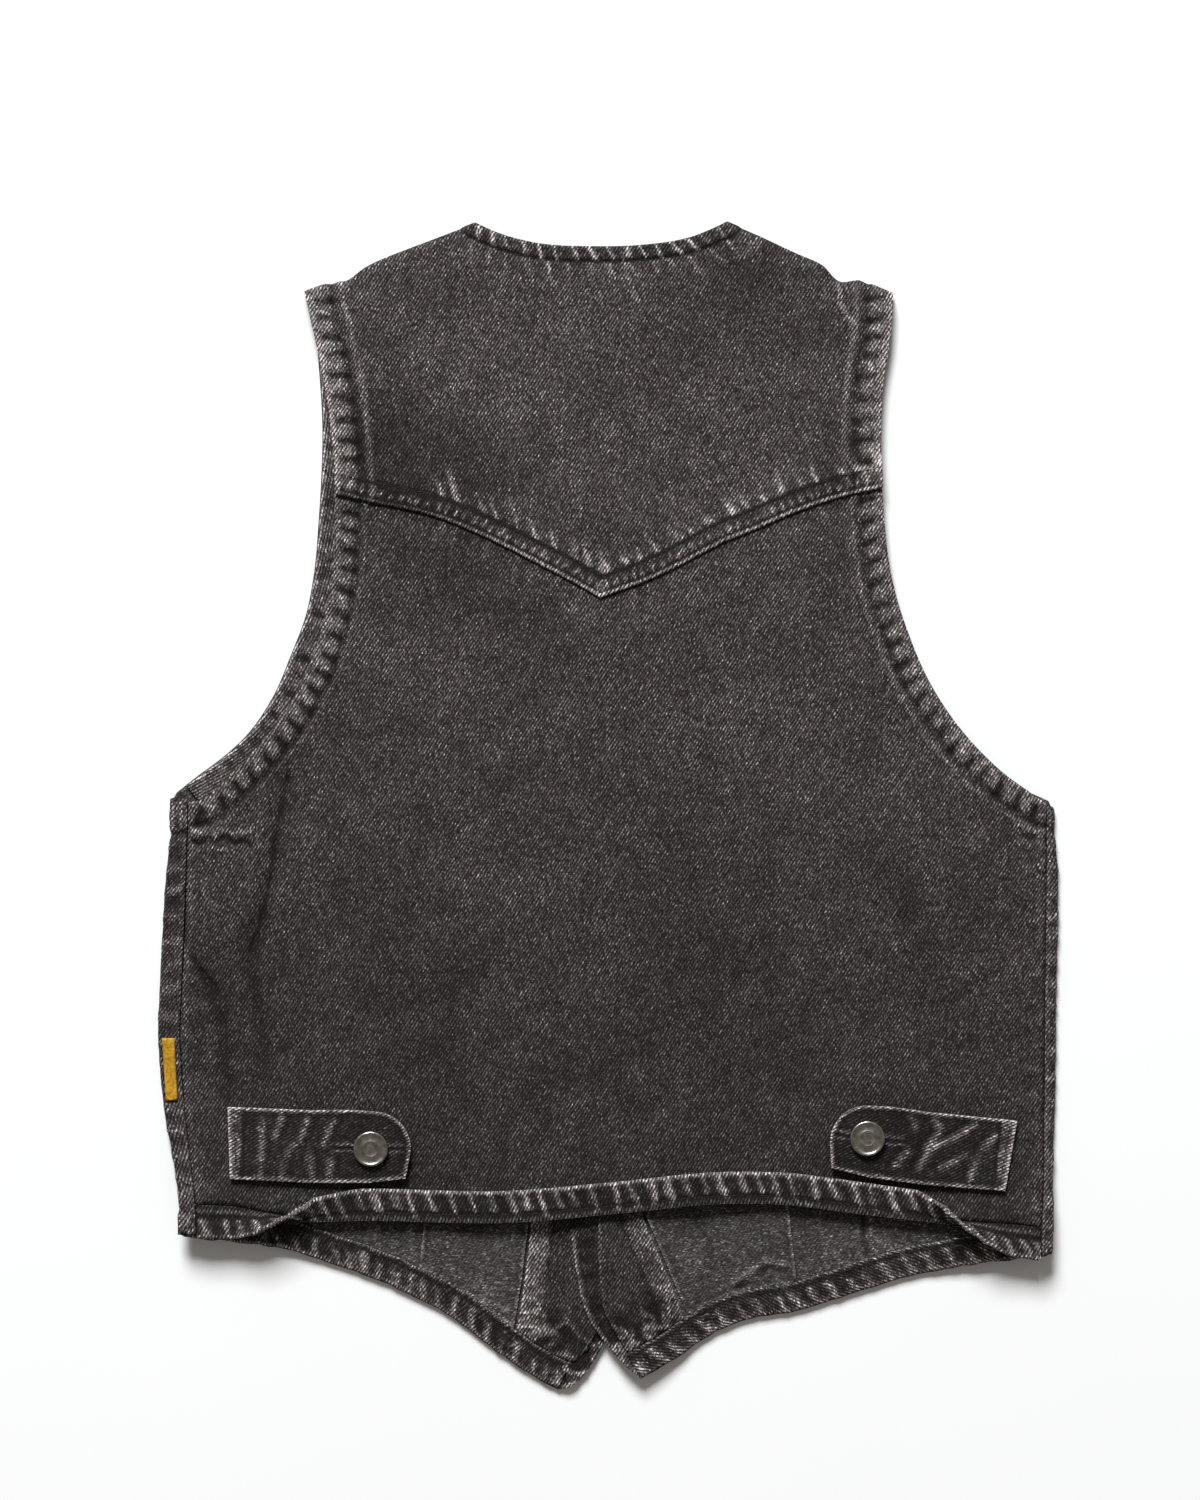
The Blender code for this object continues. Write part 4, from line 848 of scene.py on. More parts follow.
def dress_yoke(points):
    dress = Dress(points, 0.25).clouds(1.2).shades(YOKE_SHADES)
    left, right = ((0.0, line_length(line) - 11.0) for line in (YOKE_LEFT, YOKE_RIGHT))
    dress_armhole(dress, LEFT_ARMHOLE, 31, left, 0.26, 0.62, 13.4, (17.5, 1.5, 0.5, 0.3))
    dress_armhole(dress, RIGHT_ARMHOLE, 32, right, 0.22, 0.45, 13.4, (17.3, 1.5, 0.5, 0.27))
    dress.band(NECK_LINE, 7.4, 0.5, 1.4)
    dress.wear_and_painted_light -= 0.08 * (1.0 - ease(dress.beside(NECK_LINE)[1], 6.0, 8.0))
    dress.marks(NECK_LINE, "neck_edge", 33)
    dress.marks(NECK_LINE, "neck_streaks", 33)
    dress.line(NECK_LINE, 0.3, 0.8, 0.0, 0.12)
    # The neck band's stitched groove is darkened: painted shade.
    dress.line(NECK_LINE, 7.1, 0.7, -0.35, -0.24)
    dress.stroke(((7.0, 264.0), (8.6, 256.0), (13.9, 242.6)), 0.8, 0.4, 0.5)
    dress.stroke(((110.4, 249.0), (111.4, 241.3), (118.1, 230.7)), 1.0, 0.5, 0.7, 0.2)
    # A broad fold on the right of the yoke, darkened as painted shade.
    dress.stroke(((62.0, 262.0), (88.0, 236.0), (104.0, 224.0)), 6.0, -0.6, -0.05)
    dress.band(YOKE_SEAM, 11.0, 0.55, 1.6)
    above = dress.beside(YOKE_SEAM)[1]
    dress.wear_and_painted_light -= 0.1 * (1.0 - ease(above, 9.0, 12.0))
    dress.wear_and_painted_light += (0.2 + 0.75 * ease(dress.x, -100.0, -50.0)) * bell(above - 0.8, 0.9)
    dress.height -= 0.4 * bell(above, 0.8)
    dress.wear_and_painted_light += 0.9 * bell(np.hypot(dress.x + 3.8, dress.y - 101.0), 2.4)
    # The seam's stitched groove is darkened: painted shade.
    dress.line(YOKE_SEAM, 2.5, 0.6, -0.3, -0.25)
    tip = line_length(curve(LEFT_YOKE_SEAM, 2.5))
    dress.marks(YOKE_SEAM, "yoke_seam_pads", 34)
    # The upper stitched groove of the seam is darkened: painted shade.
    dress.line(YOKE_SEAM, 9.6, 0.9, -0.35, -0.26, (14.0, line_length(YOKE_SEAM) - 16.0))
    dress.marks(YOKE_SEAM, "yoke_left_streaks", 35, (40.0, tip))
    return dress.marks(YOKE_SEAM, "yoke_right_streaks", 36, (tip + 4.0, FAR))


def dress_body(points):
    dress = Dress(points, 0.13).clouds()
    dress.wear_and_painted_light += 0.11 * ease(dress.y, -190.0, 110.0)
    visible = dress.y < seam_above(dress.x)
    left, right = ((line_length(line) + 3.0, FAR) for line in (YOKE_LEFT, YOKE_RIGHT))
    dress_armhole(dress, LEFT_ARMHOLE, 31, left, 0.11, 0.13, 12.2, (14.6, 1.1, 0.4, 0.07))
    dress_armhole(dress, RIGHT_ARMHOLE, 32, right, 0.15, 0.18, 12.0, (15.4, 1.2, 0.4, 0.18))
    below = dress.beside(YOKE_SEAM)[1]
    dress.height *= visible * ease(below, 0.6, 3.5)
    dress.marks(YOKE_SEAM, "below_yoke", 37)
    dress.height += 0.6 * visible * ease(below, 0.3, 0.9) * bell(below, 3.4)
    dress.shades(BODY_SHADES)
    for line, seed in ((LEFT_SEAM, 55), (RIGHT_SEAM, 56)):
        # The seam line is lightened as painted light, to take out the shadow of the gap beside it.
        dress.line(line, 0.5, 1.1, -0.1, 0.1)
        dress.line(line, 2.6, 0.9, 0.35, 0.1)
        dress.marks(line, "side_seam", seed)
    return dress.creases(CREASES, 0.3)


def build_back():
    """The yoke and the lower back with their stitching."""
    left_seam, right_seam = curve(LEFT_YOKE_SEAM, 1.6), curve(RIGHT_YOKE_SEAM, 1.6)
    rim = outline(curve(NECK, 1.6), curve(RIGHT_SHOULDER, 1.6), curve(RIGHT_YOKE_ARMHOLE, 1.6),
                  right_seam[::-1], left_seam[::-1], curve(LEFT_YOKE_ARMHOLE, 1.6)[::-1],
                  curve(LEFT_SHOULDER, 1.6)[::-1])
    rolls = [inset(line, s * w) for line in SHOULDERS for s in (-1, 1) for w in (0.35, 0.9, 1.8, 3.0)]

    def near_yoke_seams(points):
        return close_to(points, (YOKE_SEAM, 24.0), (NECK_LINE, 15.0), (LEFT_ARMHOLE, 21.0),
                        (RIGHT_ARMHOLE, 21.0), (SHOULDERS[0], 7.0), (SHOULDERS[1], 7.0))

    yoke = Panel("yoke_cloth", rim, place_yoke, CLOTH, dress_yoke)
    made = dress_piece(yoke.build([FACE, WRONG], 2.4, 1.0, near_yoke_seams, rolls), ["back_yoke"])
    for k, (line, at) in enumerate(((YOKE_SEAM, 2.4), (YOKE_SEAM, 9.6), (NECK_LINE, -7.4))):
        stitch_row(f"yoke_stitches_{k + 1}", yoke.top, trimmed(inset(line, at), 2.0))
    for name, line, at in (("left", YOKE_LEFT, 13.4), ("right", YOKE_RIGHT, -13.4)):
        path = trimmed(inset(line, at), 6.0)
        stitch_row(f"yoke_armhole_stitches_{name}", yoke.top, path)
    declare()

    top = np.concatenate([left_seam, right_seam[1:]]) + (0.0, YOKE_SEAM_BAND)
    hem = curve([row[:2] for row in BACK_HEM], 1.8) + (0.0, SEAM_GAP)
    left, right = curve(LEFT_BACK_ARMHOLE, 1.6), curve(RIGHT_BACK_ARMHOLE, 1.6)
    left_side = side_line(LEFT_SIDE, left[-1][1], hem[0][1], SEAM_GAP)
    right_side = side_line(RIGHT_SIDE, right[-1][1], hem[-1][1], -SEAM_GAP)
    left, right = left[left[:, 1] < top[0][1]], right[right[:, 1] < top[-1][1]]
    rim = outline(left, left_side[1:], hem[1:-1], right_side[:0:-1], right[::-1], top[::-1])

    def near_body_seams(points):
        creases = [(np.array(corners), 2.0 * half) for half, _, _, corners in CREASES]
        close = close_to(points, (LEFT_ARMHOLE, 21.0), (RIGHT_ARMHOLE, 21.0), *creases)
        return close | (close_to(points, (YOKE_SEAM, 12.0)) & (points[:, 1] < seam_above(points[:, 0])))

    body = Panel("body_cloth", rim, place_back, CLOTH, dress_body)
    made = dress_piece(body.build([FACE, WRONG], 2.6, 1.05, near_body_seams), ["back_body"])
    for name, line, at in (("left", BACK_LEFT, 12.2), ("right", BACK_RIGHT, -12.0)):
        shown = inset(line, at)
        shown = shown[shown[:, 1] < seam_above(shown[:, 0]) - 3.0]
        stitch_row(f"body_armhole_stitches_{name}", body.top, trimmed(shown, 6.0))
    declare()


def trimmed(line, ends):
    """The line without a length at each end."""
    along = run_along(line)
    return line[(along > ends) & (along < along[-1] - ends)]


def side_line(table, top, foot, shift):
    y = np.linspace(top, foot, round((top - foot) / 1.8) + 1)
    return columns(side_column(table, y, 2) + shift, y)


class Hem:
    """The back hem as a strip. Its flat points are x along it and the distance from its hinge."""

    def __init__(self):
        self.table = np.array(BACK_HEM)
        self.hinge_line = curve(self.table[:, :2], 1.0)

    def sizes(self, x):
        turn = np.radians(np.maximum(np.interp(x, self.table[:, 0], self.table[:, 2]), 1.0))
        radius = np.maximum(HEM_ROLL, HEM_TAKE / turn)
        straight = BACK_HEM_WIDTH - HEM_TAKE * turn / math.pi - HEM_DRAW * np.sin(turn)
        return turn, radius, straight

    def place(self, x, share):
        """The middle of the strip at a share of its width."""
        turn, radius, straight = self.sizes(x)
        run = share * (turn * radius + straight)
        angle = np.minimum(run / radius, turn)
        rest = np.maximum(run - turn * radius, 0.0)
        out = radius * np.sin(angle) + rest * np.cos(turn)
        up = radius * (1.0 - np.cos(angle)) + rest * np.sin(turn)
        y = np.interp(x, self.hinge_line[:, 0], self.hinge_line[:, 1]) - out
        return columns(x, y, back_height(x, y) + up)

    def dress(self, x, share, facing):
        """Gathers, pale edges and the stitched line. Facing is 1 for the inner face and -1 for the outer."""
        at = share * HEM_SPAN
        dress = Dress(columns(x, at), 0.078).clouds(0.8)
        dress.marks(HEM_EDGE, "hem_gathers", 38, mirror=facing)
        # The hollows between the gathers are darkened as painted shade.
        dress.marks(HEM_EDGE, "hem_hollows", 54, mirror=facing)
        dress.line(HEM_EDGE, 0.4, 1.0, 0.0, 0.55)
        # The stitched line's groove is darkened: painted shade.
        dress.line(HEM_EDGE, HEM_SPAN - STITCH_AT_HEM * HEM_SPAN, 0.7, -0.3, -0.3)
        flipped = ease(np.interp(x, self.table[:, 0], self.table[:, 2]), 100.0, 175.0)
        dress.wear_and_painted_light += (0.22 + 0.6 * flipped) * bell(at - 2.6, 0.8)
        return dress

    def top(self, flat):
        """Points on the inner face, which is the one that shows where the hem has flipped."""
        x, share = flat[:, 0], flat[:, 1] / HEM_SPAN
        middle = self.place(x, share)
        normal = unit(np.cross(self.place(x + 0.1, share) - middle, self.place(x, share + 0.005) - middle))
        return middle + normal * (HEM_CLOTH / 2 + self.dress(x, share, 1).height)[:, None], normal

    def build(self):
        x = np.linspace(self.table[0, 0] - 0.4, self.table[-1, 0] + 0.6, 330)
        shares = np.concatenate([np.linspace(0.0, 0.4, 14), np.linspace(0.44, 1.0, 13)])
        gx, gs = np.meshgrid(x, shares)
        gx, gs = gx.ravel(), gs.ravel()
        middle = self.place(gx, gs)
        count = len(x)
        a = (np.arange(len(shares) - 1)[:, None] * count + np.arange(count - 1)).ravel()
        triangles = np.concatenate([columns(a, a + count, a + 1), columns(a + 1, a + count, a + count + 1)])
        normal = normals(middle, triangles)
        outer, inner = self.dress(gx, gs, -1), self.dress(gx, gs, 1)
        past = np.maximum(gs * HEM_SPAN - 13.2, 0.0) / 0.85
        fat = HEM_CLOTH / 2 * np.sqrt(np.clip(1.0 - past ** 2, 0.05, 1.0))
        points = np.concatenate([middle + normal * (fat + outer.height)[:, None],
                                 middle - normal * (fat + inner.height)[:, None]])
        outer.grain, inner.grain = columns(gx, -gs * HEM_SPAN), columns(gx, gs * HEM_SPAN)
        faces = shell_faces(triangles, len(gx))
        cloth = add_mesh("hem_cloth", points, faces, [FACE], None, shell_values(outer, inner))
        made = dress_piece(cloth, ["back_hem"])
        row = np.array([(along, STITCH_AT_HEM * HEM_SPAN) for along in (-112.0, 0.0, 142.0)])
        stitches = stitch_row("hem_stitches", self.top, row)
        declare(strip=(17.4, 405.0))


def scalloped(line):
    """A hem's edge with the small bulges that its stitching draws up."""
    along = run_along(line)
    inside_ends = ease(along, 2.0, 14.0) * (1.0 - ease(along, along[-1] - 8.0, along[-1]))
    return inset(line, (SCALLOP * inside_ends * noise(along, 0.0 * along, 4.4, 13))[:, None])


def between(line, start, end):
    """From one point to another along the stretch of a line that lies between them."""
    first, last = (int(np.linalg.norm(line - point, axis=1).argmin()) for point in (start, end))
    step = 1 if last > first else -1
    return np.array([start, *line[first + step:last:step], end])


def strip(line, near, far):
    """An outline between two distances from a line, on its left."""
    low, high = inset(line, near), inset(line, far)
    ends = [curve(pair, 1.6) for pair in ((low[-1], high[-1]), (high[0], low[0]))]
    return outline(low, ends[0], high[::-1], ends[1])


def seen_below(points):
    """Which points show under the back's hem."""
    return points[:, 1] < -180.0


class Front:
    """A front and the pieces that lie on its inside."""

    def __init__(self, name):
        self.name, self.cut = name, FRONTS[name]
        self.side, self.table = (-1, LEFT_SIDE) if name == "left" else (1, RIGHT_SIDE)
        self.lining = place_front(self.side, CLOTH / 2 + LAY_GAP + FACING_CLOTH / 2)
        self.cutaway, self.whole_arm = curve(self.cut["cutaway"], 2.0), curve(self.cut["armhole"], 2.0)
        self.whole_foot = scalloped(curve(self.cut["hem"], 2.0))
        free = (self.before_fold(self.whole_arm) > 4.0) & (self.whole_arm[:, 1] < FACING_TOP)
        self.arm, self.foot = self.whole_arm[free], self.whole_foot[self.before_fold(self.whole_foot) > 3.0]
        self.above_hem = inset(self.foot, -self.side * (HEM_WIDTH + FACING_GAP))
        y = np.linspace(0.0, self.cut["hem"][0][1] + 3.0, 100)
        centre, radius, _ = side_fold(self.table, self.side, y)
        self.bends = [columns(centre + self.side * radius * math.pi * t, y) for t in np.linspace(0.0, 1.0, 8)]
        self.side_edge = columns(seam_reach(self.table, self.side, y), y)
        self.fold_edge = columns(centre + self.side * radius * math.pi / 2, y)

    def before_fold(self, line):
        """How far each point of a line is from the fold at the side."""
        return self.side * (side_fold(self.table, self.side, line[:, 1])[0] - line[:, 0])

    def rim(self):
        """The flat cut, from the shoulder round by the armhole, side, hem and front edge."""
        shoulder = np.asarray(self.cut["shoulder"]) + (0.0, -1.2)
        shoulder[0], shoulder[-1] = self.cut["neckline"][-1], self.cut["armhole"][0]
        arm, foot = curve(self.cut["armhole"], 2.5), scalloped(curve(self.cut["hem"], 1.6))
        y = np.linspace(arm[-1][1] - 3.0, foot[0][1] + 1.0, 100)
        seam = columns(seam_reach(self.table, self.side, y), y)
        centre = side_fold(self.table, self.side, y)[0]
        shares = np.linspace(0.1, 0.9, 6)
        turn_in = [np.array([(c + (s - c) * t, h + round_off * bell(t - 0.5, 0.25)) for t in shares])
                   for c, s, h, round_off in ((centre[0], seam[0][0], y[0] + 1.0, -2.4),
                                              (seam[-1][0], centre[-1], y[-1] - 0.4, 1.6))]
        edge, top = self.cut["neckline"][0]
        straight = columns(np.full(80, edge), np.linspace(self.cut["cutaway"][-1][1], top, 80))
        return outline(arm, turn_in[0], seam, turn_in[1], foot, curve(self.cut["cutaway"], 1.6), straight,
                       curve(self.cut["neckline"], 3.0), curve(shoulder, 3.0))

    def inside_face(self, points):
        """The wrong side, which lies up: the turned front edge, its padded tip and the creases."""
        dress = Dress(points, 0.2).clouds()
        away = dress.beside(self.cutaway)[1]
        dress.wear_and_painted_light -= 0.06 * (1.0 - ease(away, 10.0, 13.5))
        level = (1.25 if self.side < 0 else 0.5) * (1.0 - ease(dress.y, -238.0, -222.0))
        dress.height += level * (1.0 - ease(away, 9.0, 12.5))
        pad_x, pad_y = TIP_PADS[self.name]
        dress.add(bell(np.hypot(dress.x - pad_x, dress.y - pad_y), 6.5), 1.75 - level, 0.25)
        dress.line(self.cutaway, 0.4, 0.9, 0.2, 0.75)
        # The dents along the cut edge are darkened as painted shade.
        dress.marks(self.cutaway, "cutaway_dents", 52)
        near_tip = (1.0 - ease(dress.y, -262.0, -244.0)) * (1.0 - ease(away, 11.0, 14.0))
        dress.crumple(near_tip, 5.0, 0.8, 0.7, 14)
        dress.marks(self.whole_foot, "above_front_hem", 39, mirror=self.side)
        return dress.creases(INSIDE_CREASES[self.name])

    def outside_face(self, points):
        """The right side, which shows beside the side seam. The left one is rolled there."""
        dress = Dress(points, 0.1 if self.side < 0 else 0.16).clouds(1.5)
        dress.grain = dress.grain * (-1.0, 1.0)
        dress.marks(self.side_edge, "side_strip", 40 + self.side)
        if self.side < 0:
            across = dress.beside(self.side_edge)[1]
            ends = ease(dress.y, -13.5, -10.5) + 0.7 - 0.7 * ease(dress.y, -197.0, -194.0)
            rolled = ends * np.sqrt(np.clip(1.0 - ((across - 5.0) / 7.0) ** 2, 0.0, 1.0))
            dress.height += 0.9 * rolled - 0.7 * bell(dress.y + 14.0, 1.3) * (across < 12.0)
            stripes = np.cos(2.0 * math.pi * across / 3.1 + noise(dress.x, dress.y, 5.0, 17))
            dress.wear_and_painted_light += rolled * (0.2 + 0.34 * stripes)
        # The side edge is lightened as painted light, to take out the shadow of the seam's gap.
        dress.line(self.side_edge, 0.4, 0.9, 0.0, 0.3)
        dress.line(self.fold_edge, 0.0, 1.3, 0.0, 0.25)
        dress.marks(self.whole_foot, "outside_hem", 43)
        # The stitched grooves by the hem and the armhole are darkened: painted shade.
        dress.line(self.whole_foot, 13.4, 0.8, -0.25, -0.2)
        dress.marks(self.whole_arm, "outside_armhole", 44)
        return dress.line(self.whole_arm, 13.8, 0.8, -0.25, -0.2)

    def build_cloth(self, rim):
        """The front's own cloth, finest where it shows."""

        def shown(points):
            return (points[:, 1] < -183.0) | close_to(points, (self.side_edge, 16.0), (self.whole_arm, 6.0))

        def turned_edge(points):
            return distance(points, self.cutaway, 15.0) < 13.5

        front = Panel(f"front_cloth_{self.name}", rim, place_front(self.side), CLOTH, self.inside_face,
                      self.outside_face)
        made = front.build([WRONG, FACE], 5.0, 1.5, shown, self.bends, turned_edge)
        return dress_piece(made, [f"front_{self.name}"])

    def build_armhole_facing(self):
        """The turned armhole edge."""
        arm = self.arm

        def face(points):
            dress = Dress(points, 0.42).clouds().grain_along(arm, 40.0, 65.0)
            # The facing's dents are darkened as painted shade.
            return dress.marks(arm, "armhole_facing", 45).line(arm, 0.6, 0.9, 0.1, 0.6)

        rim = strip(arm, -self.side * 0.6, -self.side * ARMHOLE_BAND)
        facing = Panel(f"armhole_facing_cloth_{self.name}", rim, self.lining, FACING_CLOTH, face)
        made = dress_piece(facing.build([FACE], 1.6), [f"armhole_facing_{self.name}"])
        declare(strip=(ARMHOLE_BAND - 0.6, line_length(arm)))

    def build_hem(self):
        """The turned hem and its stitching."""
        side, foot = self.side, self.foot
        top = HEM_WIDTH + FACING_GAP + 0.1

        def face(points):
            dress = Dress(points, 0.1).clouds().grain_along(foot, 40.0, 20.0 * side)
            dress.marks(foot, "front_hem_gathers", 46 + side, mirror=side)
            # The hollows between the gathers are darkened as painted shade.
            dress.marks(foot, "front_hem_hollows", 57, mirror=side)
            # On the left front the hem is darkened towards its side end: painted shadow under the back's hem.
            dress.wear_and_painted_light *= 0.3 + 0.7 * ease(side * (foot[0][0] - dress.x), 22.0, 62.0) if side < 0 else 1.0
            dress.line(foot, 0.5, 1.0, 0.0, 0.7)
            dress.line(foot, top, 0.8, 0.15, 0.4)
            # The stitched groove is darkened: painted shade.
            return dress.line(foot, top - 2.6, 0.6, -0.3, -0.15)

        rim = strip(foot, -side * 0.6, -side * top)
        place = place_front(side, CLOTH / 2 + LAY_GAP + FRONT_HEM_CLOTH / 2)
        hem = Panel(f"front_hem_cloth_{self.name}", rim, place, FRONT_HEM_CLOTH, face)
        made = dress_piece(hem.build([FACE], 1.4), [f"front_{self.name}_hem"])
        row = trimmed(inset(foot, -side * (top - 2.6)), 3.0)
        stitches = stitch_row(f"front_hem_stitches_{self.name}", hem.top, row)
        declare(strip=(top - 0.6, line_length(foot)))

    def build_facing(self):
        """The facing along the front edge."""
        inner, outer = curve(self.cut["facing_inner"], 2.0), curve(self.cut["facing_outer"], 2.0)
        bottom = between(self.above_hem, self.cut["facing_outer"][0], self.cut["facing_inner"][0])
        top = curve((self.cut["facing_inner"][-1], self.cut["facing_outer"][-1]), 2.0)
        rim = outline(inner, top, outer[::-1], bottom)

        def face(points):
            dress = Dress(points, 0.2).clouds(1.6)
            dress.line(inner, 0.2, 1.0, 0.2, 0.55)
            dress.line(outer, 0.2, 0.9, 0.1, 0.2)
            dress.wear_and_painted_light += (0.24 if self.side < 0 else 0.08) * (1.0 - ease(dress.beside(inner)[1], 8.0, 11.0))
            # The crease beside the inner edge is darkened: painted shade.
            dress.line(inner, 10.6, 0.9, -0.5, -0.1)
            dress.marks(inner, "facing_edge", 49)
            dress.crumple(1.0 - ease(dress.beside(bottom)[1], 8.0, 26.0), 6.5, 1.1, 0.55, 15)
            return dress.marks(bottom, "facing_foot", 50, mirror=self.side)

        facing = Panel(f"front_facing_cloth_{self.name}", rim, self.lining, FACING_CLOTH, face)
        made = dress_piece(facing.build([FACE], 3.0, 1.3, seen_below), [f"front_{self.name}_facing"])
        length = line_length(inner)
        declare(strip=(signed_area(rim) / length, length))

    def build_pocket(self):
        """The pocket's bag."""
        corners = np.asarray(self.cut["pocket"])
        rim = outline(between(self.above_hem, *corners[:2]), *straight_sides(corners, 1.8, 1))
        closed = np.concatenate([rim, rim[:1]])

        def face(points):
            dress = Dress(points, 0.2).clouds(1.4)
            dress.marks(self.foot, "above_pocket", 58, mirror=self.side)
            dress.creases(INSIDE_CREASES[self.name])
            # The stitched groove round the bag is darkened: painted shade.
            return dress.line(closed, 0.2, 0.8, 0.2, 0.4).line(closed, 2.2, 0.8, -0.2, -0.08)

        bag = Panel(f"pocket_cloth_{self.name}", rim, self.lining, FACING_CLOTH, face)
        made = bag.build([WRONG], 3.0, 1.2, seen_below)
        dress_piece(made, [f"pocket_bag_{self.name}"])
        declare()

    def build(self):
        """Makes the front's pieces. Gives the front's cloth and its flat cut."""
        rim = self.rim()
        made = self.build_cloth(rim)
        self.build_armhole_facing()
        self.build_hem()
        self.build_facing()
        self.build_pocket()
        return made, rim


def build_tab(name):
    """A waist tab with its edge stitching, buttonhole and button."""
    x0, y0, degrees, side, lift = TABS[name]
    turn = math.radians(degrees)
    ahead = np.array((math.cos(turn), math.sin(turn)))
    across = side * np.array((-ahead[1], ahead[0]))
    shape = np.array([(x0, y0) + along * ahead + off * across for along, off in TAB_SHAPE])
    first, last = TAB_ROUND
    rim = outline(curve(shape[:first + 1], 1.1), curve(shape[first:last + 1], 1.1),
                  *straight_sides(shape, 1.1, last))
    closed = np.concatenate([rim, rim[:1]])
    over = CLOTH / 2 + LAY_GAP + TAB_CLOTH / 2

    def place(x, y):
        share = ease(columns(x - x0, y - y0) @ ahead, 20.0, 90.0)
        return columns(x, y, back_height(x, y) + over + lift * share)

    def local(points):
        rest = points - (x0, y0)
        return rest @ ahead, rest @ across

    button = np.array(TAB_BUTTONS[name])
    hole_along, hole_across = (v[0] for v in local(button[None]))

    def tab_face(points):
        dress = Dress(points, 0.07).clouds(0.7)
        along, off = local(points)
        dress.grain = columns(off, along * side)
        away = distance(points, closed)
        dress.height += 0.45 * bell(away, 1.5) - 0.3 * bell(away - 3.0, 0.9)
        dress.wear_and_painted_light += (1.0 + 0.4 * noise(dress.x, dress.y, 7.0, 16)) * bell(away, 1.1)
        # The groove inside the edge is darkened: painted shade.
        dress.wear_and_painted_light -= 0.04 * bell(away - 3.0, 1.0)
        for corners in TAB_CREASES[name]:
            path = curve([(x0, y0) + a * ahead + o * across for a, o in corners], 1.0)
            dress.stroke(path, 1.7, 0.9, 0.46, 0.6)
            # Beside each pale crease lies a dent darkened as painted shade.
            dress.stroke(path + 3.4 * ahead, 1.6, -0.6, -0.04, 0.3)
        # The groove of the end stitching is darkened: painted shade.
        dress.add(bell(along - TAB_END, 0.9), -0.5, -0.3)
        dress.wear_and_painted_light += 0.35 * (along < TAB_END) * (0.6 + 0.8 * noise(off, 0 * off, 7.0, 20))
        in_hole = ease(along, hole_along - 20.0, hole_along - 17.0)
        in_hole *= 1.0 - ease(along, hole_along + 14.0, hole_along + 17.0)
        slit, lips = bell(off - hole_across + 0.3, 0.55), bell(np.abs(off - hole_across) - 1.5, 0.8)
        dress.height += in_hole * (0.35 * lips - 0.6 * slit)
        # The buttonhole's slit is darkened as painted shade, and its raised lips are lighter.
        dress.wear_and_painted_light += in_hole * (0.3 * lips - 0.4 * slit)
        return dress

    tab = Panel(f"tab_cloth_{name}", rim, place, TAB_CLOTH, tab_face)
    made = dress_piece(tab.build([FACE], 1.0), [f"tab_{name}"])
    inner = fillet_inset(rim, 3.0)
    rows = [stitch_row(f"tab_stitches_{name}", tab.top, inner, 2.2, 0.8)]
    ends = np.array([(x0, y0) + TAB_END * ahead + off * across for off in (-13.5, 0.0, 13.5)])
    rows.append(stitch_row(f"tab_end_stitches_{name}", tab.top, ends, 2.2, 0.8))
    declare()
    ring = np.linspace(0.0, 2.0 * math.pi, 12)
    around = button + BUTTON_RADIUS * columns(np.cos(ring), np.sin(ring))
    under = place(around[:, 0], around[:, 1])[:, 2].max() + TAB_CLOTH / 2 + SEAM_GAP
    cap = build_cap(f"button_cap_{name}", TAB_BUTTON_HEIGHT, button[0], button[1], under, 1)
    dress_piece(cap, [f"tab_button_{name}"])


def fillet_inset(rim, gap):
    """A line inside a closed outline, open where it starts."""
    closed = np.concatenate([rim[-1:], rim, rim[:1]])
    line = inset(closed, gap)[1:-1]
    whole = np.concatenate([rim, rim[:1]])
    return line[distance(line, whole) > 0.97 * gap]


def build_cap(name, height, x, y, z, up):
    """A pressed metal cap: a rolled rim, a flat field and a fine raised ring."""
    profile = [(out * BUTTON_RADIUS, level * height) for out, level in CAP_PROFILE]
    sides = 72
    angles = np.linspace(0.0, 2.0 * math.pi, sides, endpoint=False)
    rings = profile[1:-1]
    points = [(x, y, z + up * profile[0][1])]
    for radius, level in rings:
        points += [(x + radius * math.cos(a), y + radius * math.sin(a), z + up * level) for a in angles]
    points.append((x, y, z + up * profile[-1][1]))
    faces = []
    for k in range(sides):
        following = (k + 1) % sides
        faces.append((0, 1 + following, 1 + k))
        for ring in range(len(rings) - 1):
            a, b = 1 + ring * sides, 1 + (ring + 1) * sides
            faces.append((a + k, a + following, b + following, b + k))
        last = 1 + (len(rings) - 1) * sides
        faces.append((last + k, last + following, len(points) - 1))
    return add_mesh(name, points, faces if up > 0 else [f[::-1] for f in faces], [METAL])


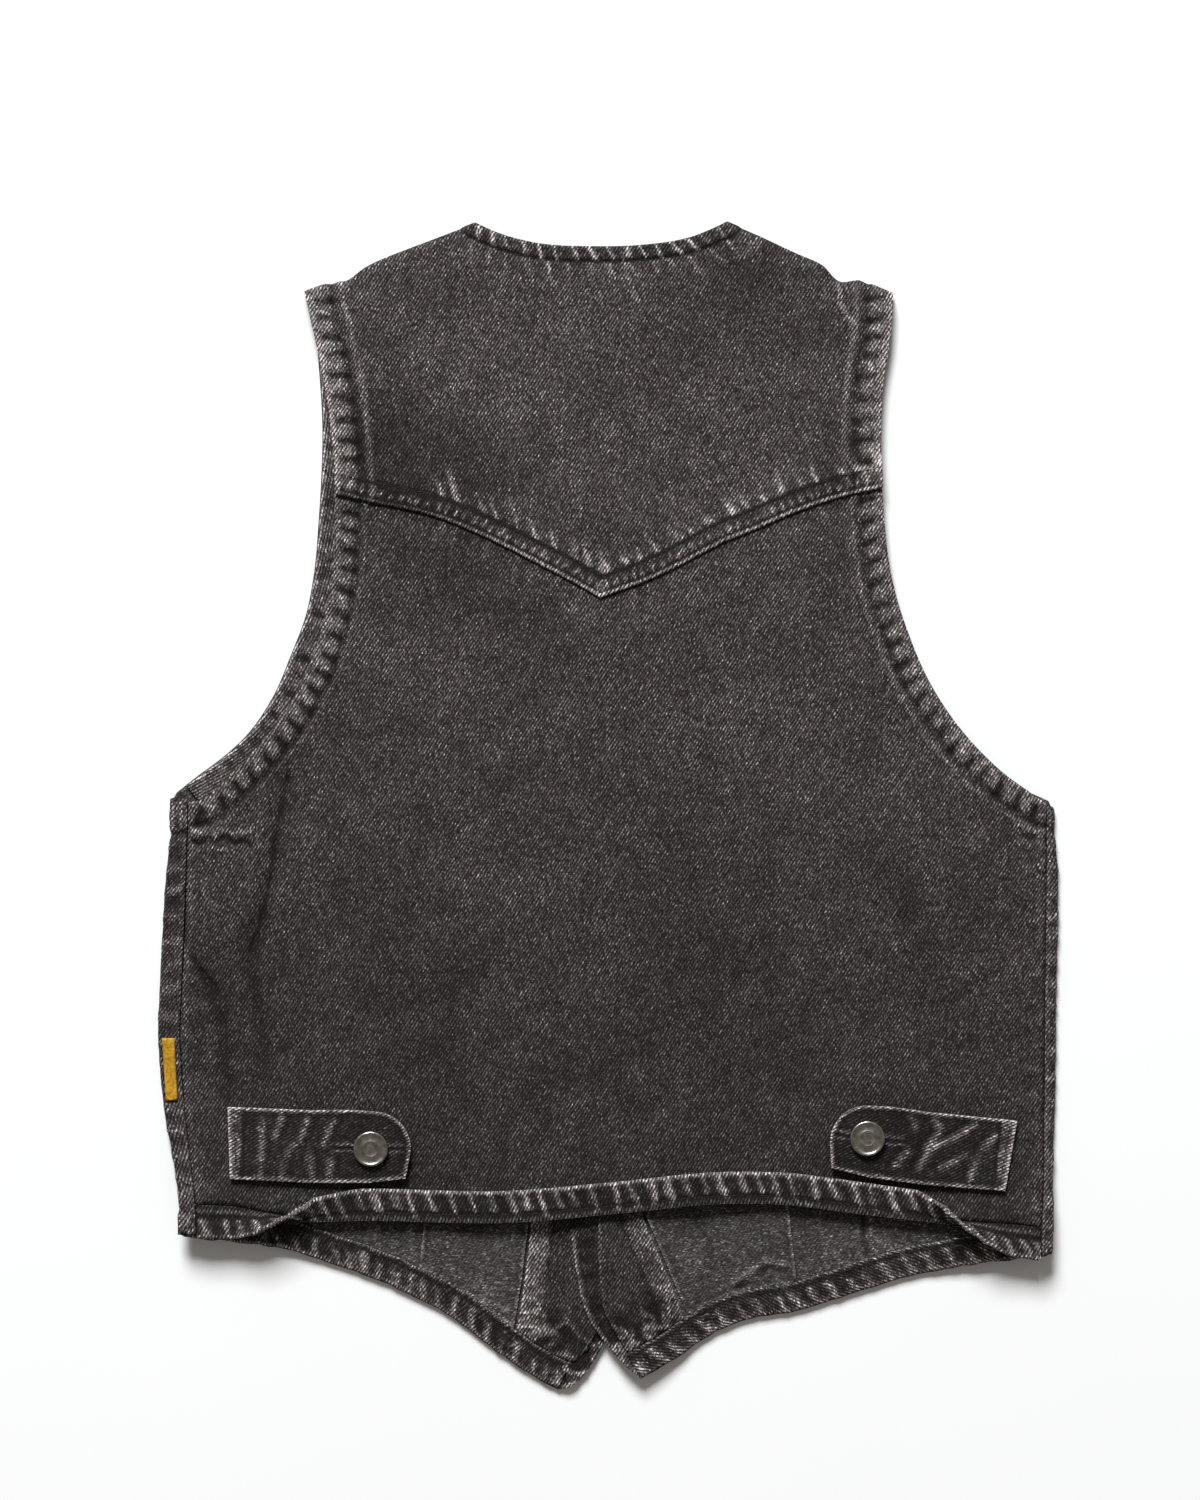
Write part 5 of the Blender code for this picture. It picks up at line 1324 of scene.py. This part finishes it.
def build_label():
    """A plain woven tape on the strip beside the left side seam."""
    def place(x, y):
        seam = side_column(LEFT_SIDE, y, 2)
        return columns(x, y, back_height(seam, y) + CLOTH / 2 + SEAM_GAP + FACING_CLOTH / 2)

    def tape_face(points):
        dress = Dress(points, 0.5)
        dress.height += 0.12 * noise(dress.x, dress.y, 3.0, 22)
        return dress

    rim = outline(*straight_sides(np.array(LABEL), 1.0))
    label = Panel("label_tape", rim, place, FACING_CLOTH, tape_face)
    return dress_piece(label.build([TAPE], 0.9), ["side_label"])


def build_stage():
    """A plain pale floor, soft light from above and from the neck's side, and the camera straight above."""
    bpy.ops.mesh.primitive_plane_add(size=FLOOR_SIZE, location=(0.0, 0.0, FLOOR_LEVEL))
    floor = bpy.context.object
    floor.name = "floor"
    floor.data.materials.append(FLOOR)
    world = bpy.data.worlds.new("studio")
    bpy.context.scene.world = world
    world.use_nodes = True
    sky = world.node_tree.nodes["Background"]
    sky.inputs["Color"].default_value, sky.inputs["Strength"].default_value = SKY_COLOUR, SKY_STRENGTH
    bpy.context.scene.view_settings.view_transform = "Standard"
    lamp = bpy.data.lights.new("window", "AREA")
    lamp.size, lamp.energy, lamp.color = LAMP_SIZE, LAMP_POWER, LAMP_COLOUR
    holder = bpy.data.objects.new("window", lamp)
    holder.location = LAMP_PLACE
    holder.rotation_euler = (-Vector(LAMP_PLACE)).to_track_quat("-Z", "Y").to_euler()
    bpy.context.scene.collection.objects.link(holder)
    lens = bpy.data.cameras.new("camera")
    lens.lens, lens.sensor_fit, lens.sensor_height = LENS, "VERTICAL", SENSOR
    camera = bpy.data.objects.new("camera", lens)
    camera.location = Vector((*FRAME_CENTRE, LENS / SENSOR * FRAME_HEIGHT + CLOTH_LEVEL)) * MM
    bpy.context.scene.collection.objects.link(camera)
    bpy.context.scene.camera = camera


def main():
    build_stage()
    build_back()
    Hem().build()
    label = build_label()
    left, left_rim = Front("left").build()
    right, right_rim = Front("right").build()
    declare()
    declare()
    for name in TABS:
        build_tab(name)
    for number in range(1, 6):
        low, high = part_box(f"front_button_{number}")
        x, y = ((low[k] + high[k]) / 2 / MM for k in (0, 1))
        cap = build_cap(f"front_cap_{number}", BUTTON_HEIGHT, x, y, BUTTON_HEIGHT, -1)
        dress_piece(cap, [f"front_button_{number}"])


main()
